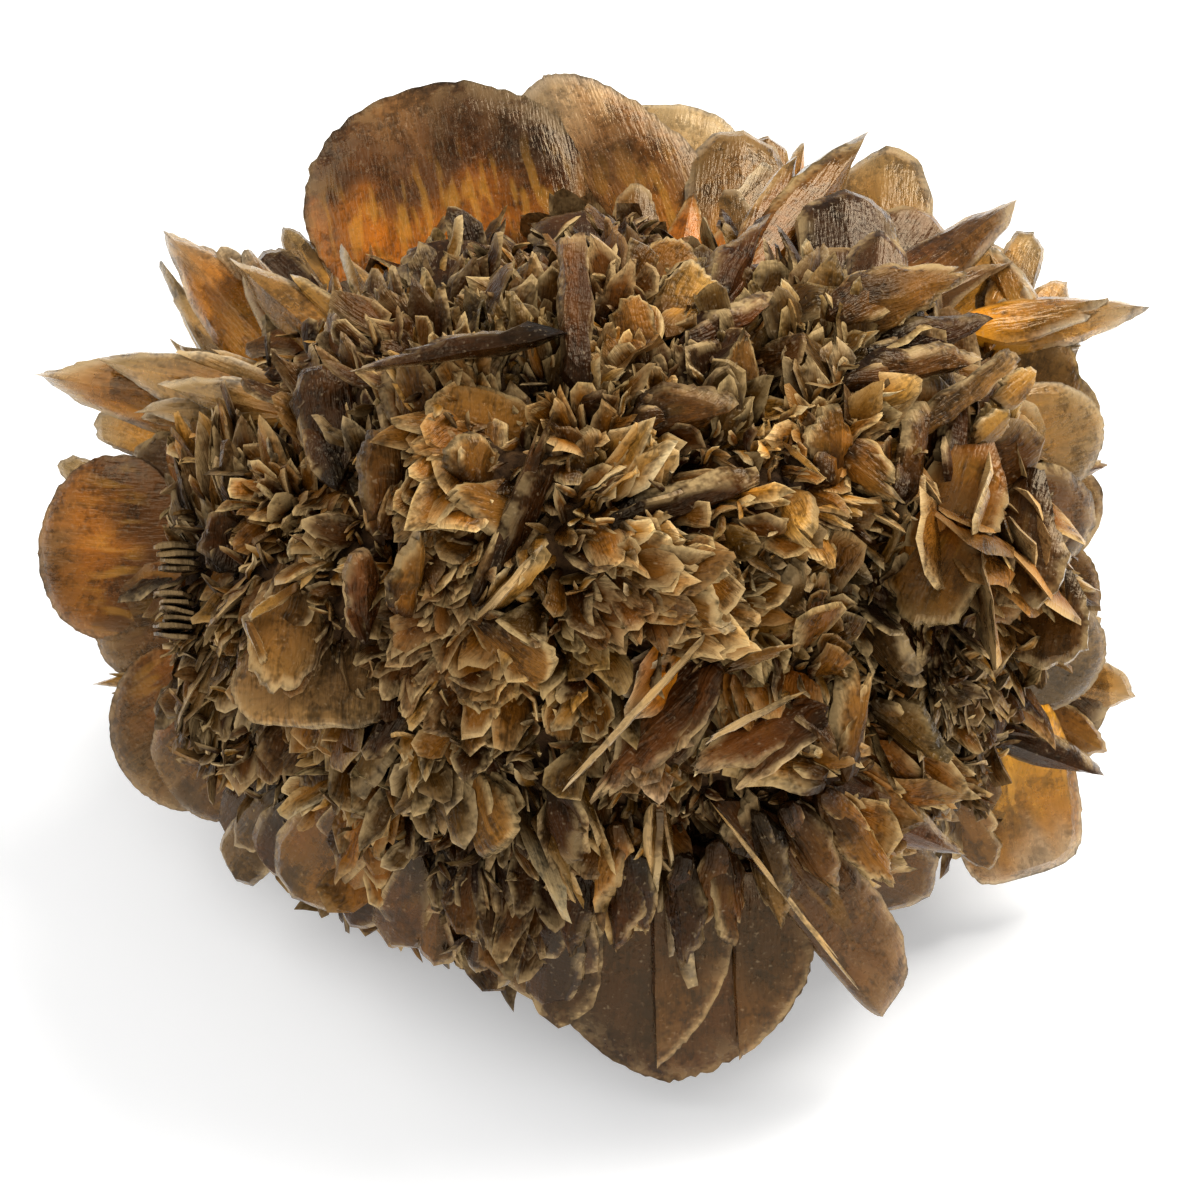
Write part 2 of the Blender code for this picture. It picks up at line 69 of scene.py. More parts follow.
# Colours as the eye sees them, 0 to 255: root, middle, tip, rim; then how clear the crystal is.
# The bright roots of the clear looks are partly a painted glow of light through the foot, the dark
# roots of the others partly painted shade, and the pale rims partly a painted highlight.
# WARMTH stains the first three further, so they are paler here than on the stone
LOOKS = {
    "ember": ((168, 98, 20), (68, 38, 15), (104, 76, 52), (70, 52, 38), 0.50),
    "lamp": ((98, 58, 20), (158, 100, 36), (126, 92, 58), (176, 150, 120), 0.48),
    "veil": ((160, 108, 46), (138, 106, 66), (150, 126, 96), (206, 188, 158), 0.60),
    "glow": ((240, 170, 50), (206, 132, 36), (150, 96, 36), (190, 140, 76), 0.45),
    "deep": ((66, 40, 18), (58, 35, 18), (70, 46, 28), (112, 86, 58), 0.22),
    "mauve_glass": ((184, 120, 48), (120, 84, 52), (170, 144, 118), (190, 168, 142), 0.68),
    "cream_glass": ((186, 134, 62), (166, 136, 98), (178, 158, 130), (222, 206, 178), 0.70),
    "honey": ((232, 172, 62), (180, 134, 60), (196, 172, 148), (240, 226, 196), 0.70),
    "gold": ((226, 164, 50), (164, 110, 30), (192, 168, 148), (240, 224, 194), 0.70),
    "rust": ((140, 84, 30), (100, 70, 40), (116, 92, 66), (174, 148, 116), 0.45),
    "amber": ((126, 80, 26), (134, 94, 42), (124, 96, 56), (190, 162, 112), 0.50),
    "brown": ((38, 23, 10), (82, 55, 28), (96, 69, 40), (160, 131, 90), 0.40),
    "umber": ((22, 12, 5), (50, 29, 13), (66, 42, 21), (122, 92, 56), 0.25),
    "mauve": ((38, 22, 13), (76, 47, 29), (94, 64, 42), (156, 126, 92), 0.35),
    "olive": ((34, 25, 11), (82, 62, 31), (98, 78, 42), (174, 148, 98), 0.35),
    "tan": ((48, 31, 13), (114, 82, 42), (132, 99, 56), (204, 174, 120), 0.40),
    "cream": ((84, 60, 30), (156, 124, 76), (180, 152, 102), (228, 206, 158), 0.35),
    "grey": ((38, 29, 18), (84, 67, 45), (100, 82, 58), (168, 146, 112), 0.30),
    "slate": ((30, 21, 13), (62, 47, 31), (80, 63, 43), (152, 130, 98), 0.25),
    "plate": ((58, 36, 16), (82, 54, 26), (96, 68, 38), (190, 160, 114), 0.22),
    "frosted": ((200, 144, 62), (196, 168, 134), (204, 184, 162), (240, 222, 194), 0.50),
    "bar": ((160, 144, 128), (194, 178, 164), (202, 186, 170), (226, 212, 192), 0.20),
    "dome": ((92, 68, 42), (112, 86, 58), (128, 102, 70), (204, 176, 132), 0.30),
    "wine": ((48, 28, 13), (78, 48, 26), (98, 70, 46), (170, 144, 108), 0.35),
    "dusk": ((60, 36, 16), (92, 62, 36), (118, 90, 64), (186, 160, 124), 0.40),
}

# Each row: base (right, up, out), tip (right, up, out), half width to the left and to the right,
# turn about the line from base to tip, form, middle thickness, look
CROWN = [
    ((-13, 27, -4), (-18.0, 51.3, -14), 14.2, 14.6, 0, "round", 3.2, "ember"),
    ((6, 22, -12), (-5.4, 52.3, -22), 12.0, 12.6, 4, "oval", 3.2, "mauve_glass"),
    ((4, 26, -20), (8.0, 49.0, -29), 8.8, 8.8, -6, "petal", 3.0, "cream_glass"),
    ((13, 30, -10), (14.2, 46.4, -22), 6.0, 5.5, 8, "petal", 2.6, "veil"),
    ((16, 37, -18), (16.6, 46.1, -24), 2.6, 3.0, 10, "petal", 2.0, "amber"),
    ((18.6, 38, -20), (20.0, 45.6, -25), 1.3, 1.2, 20, "leaf", 1.4, "gold"),
    ((13.6, 30.6, 4), (25.6, 46.3, -12), 3.2, 3.4, 22, "leaf", 2.6, "amber"),
    ((27.2, 21, -1), (28.6, 45.2, -18), 5.0, 5.4, -8, "petal", 2.6, "veil"),
    ((25.4, 25.4, 10), (24.2, 40.2, -2), 5.2, 5.6, 12, "petal", 2.4, "umber"),
    ((26.6, 21, 14), (27.9, 36.4, 4), 3.3, 3.6, 0, "petal", 2.2, "mauve"),
    ((24.5, 26.0, 5), (42.1, 39.8, -10), 3.5, 3.2, -14, "leaf", 2.4, "rust"),
    ((43.4, 25, -2), (39.4, 35.4, -8), 2.3, 2.5, -24, "leaf", 2.0, "honey"),
    ((38.5, 24.5, 1), (43.2, 36.4, -12), 2.6, 2.3, 0, "petal", 1.8, "cream_glass"),
    ((39.0, 23.0, 0), (46.4, 31.6, -10), 2.0, 1.8, 10, "petal", 1.8, "honey"),
    ((35, 26.6, 1), (54.7, 29.1, -9), 2.8, 3.3, -8, "leaf", 2.6, "honey"),
    ((-24, 24, 0), (-33.4, 34.6, -12), 2.8, 2.4, 0, "petal", 2.0, "umber"),
    ((-25.6, 28.5, -4), (-31.6, 37.2, -13), 1.6, 1.5, 0, "petal", 1.4, "cream_glass"),
]

RIGHT_RIM = [
    ((38, 13, 0), (44.6, 27.4, -4), 7.6, 7.0, 14, "disc", 2.6, "tan"),
    ((35, 13.5, 8), (50.0, 17.5, -2), 6.2, 6.6, 16, "disc", 2.4, "cream_glass"),
    ((35, 12, 2), (50.7, 13.6, -4), 2.2, 2.6, 10, "leaf", 1.8, "mauve"),
    ((36, 8, 10), (49.5, 7.6, -2), 6.4, 6.0, 12, "disc", 2.4, "brown"),
    ((39, 5.0, 0), (50.2, 0.8, -5), 1.5, 1.6, 0, "lance", 1.4, "cream"),
    ((37, 0, 0), (50.3, -3.6, -7), 3.0, 2.8, 10, "petal", 1.8, "cream_glass"),
    ((36, -3.5, 10), (50.0, -6.8, -3), 6.6, 6.2, 12, "disc", 2.4, "grey"),
    ((39.5, -6, -1), (52.9, -9.2, -9), 2.6, 2.6, 14, "petal", 2.2, "honey"),
    ((38.5, -8.5, 0), (50.3, -14.9, -7), 2.4, 2.2, 0, "petal", 1.8, "amber"),
    ((38, -12.5, 4), (50.0, -16.8, -4), 2.0, 2.2, 24, "leaf", 2.0, "umber"),
    ((38.6, -9.5, 2), (42.4, -27.2, -8), 7.2, 6.4, -6, "block", 4.0, "gold"),
    ((32.0, -16, 6), (39.4, -26.4, -4), 2.4, 2.6, 12, "petal", 2.0, "tan"),
]

LOWER_RIM = [
    ((18.4, -17.4, 27), (36.2, -24.9, 11), 3.2, 3.0, 12, "leaf", 2.2, "mauve"),
    ((17, -21, 18), (32.6, -29.2, 4), 5.0, 4.4, 10, "petal", 2.4, "brown"),
    ((11.0, -20, 30), (27.6, -41.2, 12), 7.4, 1.0, -6, "petal", 2.4, "dusk"),
    ((7.4, -24, 22), (7.0, -47.9, 10), 13.8, 13.2, 0, "oval", 3.0, "deep"),
    ((6.0, -18.0, 30), (4.7, -33.2, 20), 3.6, 3.6, 82, "leaf", 1.5, "cream"),
    ((6.2, -24, 24), (9.6, -38.6, 18), 1.8, 1.6, 70, "leaf", 1.2, "grey"),
    ((-6.0, -24, 20), (-9.6, -38.8, 13), 2.2, 2.2, 34, "leaf", 1.8, "grey"),
    ((-3, -28, 24), (-5.2, -40.2, 13), 3.2, 3.2, 20, "petal", 2.0, "umber"),
    ((-11.0, -24, 19), (-12.0, -37.2, 12), 2.4, 2.6, 30, "petal", 1.8, "umber"),
    ((-14.5, -23.5, 18), (-16.2, -36.2, 11), 2.8, 2.8, 20, "petal", 1.8, "brown"),
    ((-18, -25, 19), (-20.4, -34.2, 9), 3.4, 3.4, 14, "petal", 2.0, "brown"),
    ((-20, -23, 17), (-24.6, -32.4, 7), 3.0, 3.2, 10, "petal", 2.0, "umber"),
    ((-21.5, -18.5, 20), (-30.2, -29.1, 8), 5.2, 5.4, 0, "petal", 2.4, "amber"),
    ((-31, -18.5, 8), (-36.6, -27.4, -3), 3.2, 3.2, 12, "petal", 2.0, "grey"),
]

LEFT_RIM = [
    ((-34, -8, 4), (-47.2, -17.4, -6), 8.4, 8.8, 0, "disc", 2.6, "rust"),
    ((-44, -8, -2), (-50.6, -8.4, -5), 0.8, 0.9, 0, "lance", 1.0, "cream"),
    ((-40.5, 4.5, 0), (-56.0, 5.0, -9), 9.0, 9.8, 0, "disc", 2.8, "lamp"),
    ((-39, 4.5, -4), (-53.8, 13.9, -14), 2.6, 2.4, 0, "petal", 1.8, "cream_glass"),
    ((-39, 14.5, -2), (-50.2, 17.4, -9), 2.0, 2.4, 0, "block", 2.2, "honey"),
    ((-33, 19.2, 0), (-55.4, 22.5, -9), 4.4, 4.2, -6, "leaf", 2.8, "gold"),
    ((-29.5, 20.0, 7), (-50.0, 24.3, -4), 3.9, 2.6, -12, "leaf", 1.8, "frosted"),
    ((-29.0, 18.6, 11), (-43.4, 21.9, 2), 2.4, 2.0, -20, "leaf", 1.8, "frosted"),
    ((-27.5, 19.0, 3), (-43.5, 36.7, -10), 4.0, 4.6, 4, "leaf", 2.8, "gold"),
    ((-32.5, 16.6, -2), (-44.0, 33.4, -12), 1.7, 1.8, 20, "leaf", 1.6, "cream_glass"),
    ((-23.6, 23, 9), (-36.1, 33.8, -3), 2.9, 2.7, -10, "leaf", 2.4, "cream_glass"),
    ((-22.6, 25, 10), (-30.4, 32.4, 1), 1.7, 1.5, -20, "leaf", 1.6, "cream"),
    ((-21, 25.2, 11), (-26.1, 35.0, 1), 1.2, 1.1, 30, "lance", 1.4, "cream"),
    ((-19.6, 25.4, 13), (-24.4, 33.6, 4), 1.5, 1.4, -10, "leaf", 1.5, "cream_glass"),
]

FACE_BLADES = [
    ((-8.4, 27.6, 14), (-6.0, 33.0, 8), 4.0, 4.0, 10, "disc", 1.8, "olive"),
    ((-26.4, 11.0, 27), (-27.6, 23.4, 17), 3.7, 4.4, -6, "petal", 2.2, "umber"),
    ((-18.6, 13.0, 30), (-21.6, 23.2, 24), 2.4, 2.2, 46, "leaf", 1.8, "brown"),
    ((-2.2, 20.0, 33), (-2.7, 37.0, 21), 1.8, 1.7, 12, "block", 3.0, "mauve"),
    ((6.4, 26.4, 25), (10.8, 33.4, 17), 3.0, 3.2, -8, "disc", 1.8, "cream"),
    ((5.4, 30.0, 18), (8.6, 36.0, 11), 3.2, 3.0, 0, "disc", 1.8, "tan"),
    ((4.4, 23.0, 29), (2.6, 30.2, 23), 2.2, 2.4, 0, "petal", 1.6, "tan"),
    ((9.6, 27.0, 20), (15.8, 37.8, 8), 2.8, 2.6, 20, "leaf", 2.4, "mauve"),
    ((7.8, 25.2, 26), (16.8, 30.6, 18), 2.2, 2.0, 34, "leaf", 2.0, "mauve"),
    ((13.6, 18.6, 29), (14.2, 27.4, 24), 1.8, 1.8, 14, "leaf", 1.6, "tan"),
    ((3.0, 17.5, 33), (13.6, 20.4, 29), 3.4, 3.0, 30, "leaf", 2.2, "brown"),
    ((22.6, 28.0, 20), (36.6, 32.5, 9), 4.2, 3.6, 0, "leaf", 2.0, "tan"),
    ((26.0, 24.2, 20), (39.4, 28.6, 8), 2.4, 2.2, 26, "leaf", 2.0, "umber"),
    ((24.0, 22.0, 25), (38.2, 24.8, 13), 2.4, 2.4, 34, "leaf", 2.0, "brown"),
    ((30.0, 15.6, 25), (41.6, 24.6, 14), 1.6, 1.6, 16, "block", 2.0, "dome"),
    ((30.0, 9.6, 27), (31.6, 20.4, 19), 2.2, 2.4, 58, "leaf", 1.8, "brown"),
    ((34.6, 11.0, 22), (35.4, 21.0, 14), 2.4, 2.4, 52, "leaf", 1.8, "mauve"),
    ((37.4, 11.6, 10), (40.8, 20.6, 10), 2.4, 2.2, 10, "petal", 1.6, "cream"),
    ((32.6, 9.4, 24), (33.2, -0.4, 22), 5.0, 5.4, 0, "petal", 2.0, "amber"),
    ((38.0, 7.2, 18), (38.4, -2.8, 14), 4.4, 4.6, 0, "petal", 2.0, "brown"),
    ((-13.0, 10.0, 33), (-11.2, 21.4, 27), 6.2, 6.2, 6, "petal", 2.2, "tan"),
    ((-13.4, 11.4, 36), (-12.0, 17.4, 34), 3.4, 3.2, 36, "leaf", 1.6, "tan"),
    ((-6.6, 8.6, 34), (-15.6, 10.2, 36), 3.0, 3.6, 30, "leaf", 1.6, "tan"),
    ((-12.8, -1.4, 35), (-4.4, 18.0, 33), 3.4, 3.4, 78, "leaf", 2.2, "umber"),
    ((-12.4, -1.8, 35.5), (-5.2, 4.9, 36.5), 2.4, 2.4, 82, "lance", 1.2, "cream"),
    ((0.6, 7.6, 36), (16.8, 13.4, 32), 2.6, 2.6, 46, "leaf", 2.2, "umber"),
    ((2.6, 11.4, 34), (4.4, 17.2, 33), 2.8, 2.8, 34, "leaf", 1.6, "cream"),
    ((-1.8, 12.0, 34), (-1.0, 18.0, 32), 2.6, 2.6, 40, "leaf", 1.6, "tan"),
    ((18.4, 10.4, 33), (21.4, 5.4, 35), 2.6, 2.4, 16, "leaf", 1.6, "cream"),
    ((22.6, 11.6, 30), (23.0, 19.8, 25), 3.4, 3.2, 40, "leaf", 1.8, "tan"),
    ((24.4, 15.2, 28), (30.2, 9.6, 27), 2.6, 2.4, 14, "leaf", 1.8, "tan"),
    ((18.2, -3.0, 30), (19.6, 4.6, 34), 2.4, 2.2, 50, "leaf", 1.6, "slate"),
    ((-30.0, 4.0, 26), (-32.6, -9.2, 28), 4.6, 4.2, 0, "disc", 1.8, "dome"),
    ((-27.6, -1.0, 27), (-28.2, -12.9, 26), 8.6, 8.8, 10, "petal", 2.0, "dome"),
    ((-37.4, 2.6, 18), (-37.6, 9.2, 15), 3.0, 3.0, 0, "disc", 1.8, "umber"),
    ((-38.0, 5.0, 9), (-39.2, 15.6, 7), 2.0, 1.8, 40, "leaf", 1.8, "tan"),
    ((-23.6, -4.6, 33), (-24.2, 5.4, 32), 2.0, 2.0, 30, "petal", 1.8, "mauve"),
    ((-21.6, 5.0, 31), (-21.4, 17.4, 28), 3.0, 3.0, 24, "petal", 2.6, "brown"),
    ((-19.8, -2.0, 35), (-18.6, 7.6, 35), 2.6, 2.4, 40, "leaf", 1.8, "tan"),
    ((-13.4, -1.0, 35), (-4.4, -7.4, 35), 3.2, 3.6, 44, "wedge", 1.4, "tan"),
    ((12.0, -6.0, 33), (-1.0, -20.6, 31), 3.2, 3.4, 20, "leaf", 1.8, "wine"),
    ((23.0, -10.4, 32), (8.6, -17.4, 32), 2.6, 2.6, 24, "leaf", 1.6, "wine"),
    ((24.2, -18.4, 28), (24.4, -4.6, 29), 1.8, 1.8, 54, "leaf", 2.0, "tan"),
    ((22.8, -17.8, 28), (12.0, -17.2, 30), 2.8, 2.8, 56, "leaf", 2.2, "tan"),
    ((14.2, -25.4, 26), (15.0, -19.0, 27), 3.0, 2.0, 40, "leaf", 1.8, "slate"),
    ((15.4, -21.6, 27), (17.0, -27.4, 24), 1.8, 1.8, 0, "leaf", 1.4, "olive"),
    ((-13.4, -15.6, 27), (-9.6, -24.8, 28), 3.6, 3.0, 34, "wedge", 1.8, "tan"),
    ((-4.0, -18.0, 32), (-2.4, -27.0, 28), 2.4, 2.4, 50, "leaf", 1.8, "umber"),
    ((-20.0, -10.6, 27), (-24.0, -20.0, 25), 2.6, 2.6, 50, "leaf", 1.8, "grey"),
    ((1.6, -22.0, 30), (0.6, -31.2, 24), 2.4, 2.4, 44, "leaf", 1.8, "tan"),
    ((26.0, -1.0, 26), (32.4, -8.4, 24), 2.8, 2.8, 44, "leaf", 1.8, "slate"),
    ((27.0, -9.6, 22), (35.4, -15.6, 18), 2.8, 2.8, 40, "leaf", 1.8, "olive"),
    ((6.0, 1.6, 37), (13.4, -2.8, 36), 2.8, 2.8, 40, "leaf", 1.8, "tan"),
    ((3.0, -25.0, 29), (2.2, -36.0, 21), 2.2, 2.2, 30, "leaf", 1.6, "umber"),
    ((8.4, -25.0, 28), (8.8, -37.0, 19), 2.4, 2.4, 20, "leaf", 1.6, "umber"),
    ((12.0, -24.0, 28), (13.2, -35.0, 20), 2.2, 2.2, -24, "leaf", 1.6, "brown"),
    ((16.0, -23.0, 27), (18.4, -32.4, 19), 2.2, 2.2, 20, "leaf", 1.6, "grey"),
    ((-2.0, -25.0, 27), (-2.6, -35.6, 19), 2.4, 2.4, 24, "leaf", 1.6, "umber"),
    ((18.4, -20.0, 29), (24.0, -29.0, 21), 2.4, 2.4, 24, "leaf", 1.6, "brown"),
    ((21.6, -19.0, 28), (29.6, -29.0, 18), 2.4, 2.4, -20, "leaf", 1.6, "tan"),
    ((15.6, -21.0, 30), (19.0, -29.4, 23), 1.8, 1.8, 30, "leaf", 1.4, "slate"),
]

# What lies over the other blades of the display side: straight bars, which are plates seen
# edge-on, and a few last plates
BARS = [
    ((11.2, -3.0, 37.6), (-3.6, -19.0, 36.4), 0.45, 0.45, 6, "block", 1.4, "bar"),
    ((21.6, -8.4, 36.6), (10.4, -14.2, 37.2), 0.4, 0.4, 0, "block", 1.2, "bar"),
    ((11.4, -7.4, 37.2), (20.4, -4.2, 36.0), 0.7, 0.7, 0, "oval", 1.4, "tan"),
    ((11.0, -20.0, 33.8), (27.4, -40.8, 15.4), 0.35, 0.35, 0, "oval", 1.2, "bar"),
    ((4.9, -19.0, 32.0), (4.5, -33.2, 23.6), 0.7, 0.6, 10, "block", 1.6, "bar"),
    ((-12.6, -2.2, 37.6), (-5.6, 5.4, 38.4), 0.5, 0.6, 0, "block", 1.4, "bar"),
    ((-13.0, -2.0, 37.0), (-4.8, 18.6, 35.8), 1.0, 0.9, 0, "block", 2.0, "umber"),
    ((-3.0, 26.4, 30.8), (-25.6, 22.6, 29.6), 0.8, 3.0, 0, "leaf", 2.6, "umber"),
    ((-30.0, 1.6, 31.0), (-35.2, -1.8, 29.0), 0.7, 0.7, 0, "block", 1.4, "cream"),
    ((-35.3, -2.0, 29.4), (-33.4, -6.4, 30.6), 0.6, 0.6, 0, "block", 1.4, "dome"),
    ((18.0, 16.0, 33.0), (22.6, 12.0, 34.6), 0.4, 0.4, 0, "oval", 1.2, "cream"),
    ((38.5, 17.5, 20.0), (34.0, 4.6, 24.0), 5.0, 4.6, 12, "petal", 1.6, "amber"),
    ((44.0, 14.0, 12.0), (40.6, -1.6, 18.0), 5.0, 5.0, 10, "petal", 1.6, "brown"),
    ((37.0, 9.0, 24.0), (31.4, -2.6, 27.0), 4.4, 4.4, 16, "petal", 1.6, "amber"),
    ((46.0, 5.0, 8.0), (44.0, -7.4, 11.0), 4.4, 4.4, 8, "petal", 1.6, "brown"),
    ((-14.6, 28.0, 14.0), (-14.4, 35.8, 7.0), 6.0, 5.6, 0, "petal", 2.0, "umber"),
    ((-1.6, 30.0, 12.0), (-2.6, 38.6, 2.0), 5.0, 5.0, 6, "petal", 2.0, "umber"),
    ((38.6, 18.4, 17.0), (43.4, 23.0, 13.0), 1.8, 1.8, 20, "petal", 1.2, "cream"),
    ((36.4, 14.8, 20.0), (40.8, 19.0, 17.0), 1.6, 1.8, 30, "petal", 1.2, "cream"),
]

# Blades that close the fringe between the large ones
FRINGE = [
    ((-21.5, 28, 0), (-23.0, 35.5, -6), 1.2, 1.3, 10, "lance", 1.0, "glow"),
    ((-16.5, 28, 0), (-16.4, 36.5, -6), 1.4, 1.6, 20, "leaf", 1.0, "glow"),
    ((-12.5, 29, 0), (-13.6, 36.4, -6), 1.1, 1.0, -30, "lance", 1.0, "glow"),
    ((-5.5, 29, 1), (-4.2, 38.2, -6), 1.5, 1.4, -16, "leaf", 1.0, "honey"),
    ((3.5, 28, -6), (3.6, 41.5, -14), 2.6, 2.6, 6, "petal", 1.0, "rust"),
    ((7.0, 28, -6), (9.5, 41.0, -14), 2.6, 2.2, -12, "leaf", 1.0, "glow"),
    ((10.5, 28, -6), (12.6, 38.0, -13), 2.0, 2.0, 8, "leaf", 1.0, "glow"),
    ((5.4, -24, 23.0), (5.8, -46.6, 12.6), 7.6, 0.5, 6, "leaf", 1.2, "plate"),
    ((13.4, -26, 22.4), (14.0, -45.6, 13.2), 7.6, 0.5, 6, "leaf", 1.2, "plate"),
    ((-1.0, -24, 23.0), (-4.0, -42.6, 13.0), 3.4, 4.4, 10, "petal", 1.2, "umber"),
    ((-36, -1, 4), (-50.3, -3.9, -6), 6.0, 6.5, 0, "disc", 2.2, "rust"),
    ((-36, -13, 4), (-43.0, -19.2, -4), 6.5, 6.0, 0, "disc", 2.2, "rust"),
    ((-36, 11, 2), (-47.5, 12.5, -6), 5.0, 5.5, 0, "disc", 2.2, "brown"),
    ((-30, -17, 8), (-36.6, -24.0, -2), 5.0, 5.0, 10, "petal", 2.0, "brown"),
    ((-27, -19, 12), (-32.4, -27.0, 2), 4.5, 4.5, 0, "petal", 2.0, "umber"),
    ((-16, -22, 12), (-20.0, -33.2, 4), 6.0, 6.0, 0, "oval", 2.2, "umber"),
    ((-10, -24, 12), (-12.8, -36.6, 5), 6.0, 6.0, 0, "oval", 2.2, "brown"),
    ((-4, -24, 14), (-6.2, -39.6, 6), 6.0, 6.0, 0, "petal", 2.2, "brown"),
    ((20, -22, 10), (24.0, -34.5, 2), 6.0, 5.0, 0, "petal", 2.2, "rust"),
    ((26, -20, 8), (31.0, -27.5, 0), 5.0, 5.0, 0, "petal", 2.2, "rust"),
    ((32, -14, 4), (38.0, -22.0, -3), 5.0, 5.0, 0, "petal", 2.0, "brown"),
    ((38, -3, 0), (49.8, -13.0, -8), 6.0, 6.0, 0, "disc", 2.2, "brown"),
    ((38, 2, -2), (49.6, -1.0, -9), 6.5, 6.5, 0, "disc", 2.2, "brown"),
    ((38, 8, -3), (50.0, 10.5, -9), 6.0, 6.0, 0, "disc", 2.2, "rust"),
    ((38, 14, -3), (49.2, 20.5, -9), 6.0, 6.0, 0, "disc", 2.2, "rust"),
    ((38, 20, -3), (46.0, 28.5, -9), 5.0, 5.0, 0, "petal", 2.2, "rust"),
    ((32, 26, -3), (40.5, 34.5, -10), 5.0, 5.0, 0, "petal", 2.2, "honey"),
    ((26, 28, -4), (33.0, 38.0, -12), 5.0, 5.0, 0, "petal", 2.2, "mauve"),
    ((18, 30, -4), (20.5, 40.5, -12), 5.0, 5.0, 0, "petal", 2.2, "olive"),
    ((-22, 27, -4), (-28.5, 33.5, -10), 4.5, 4.5, 0, "petal", 2.0, "brown"),
    ((-28, 20, 0), (-37.0, 29.0, -7), 4.0, 4.0, 0, "petal", 2.0, "rust"),
    ((-33, 15, 2), (-41.5, 25.0, -7), 4.0, 4.0, 0, "leaf", 2.0, "honey"),
]

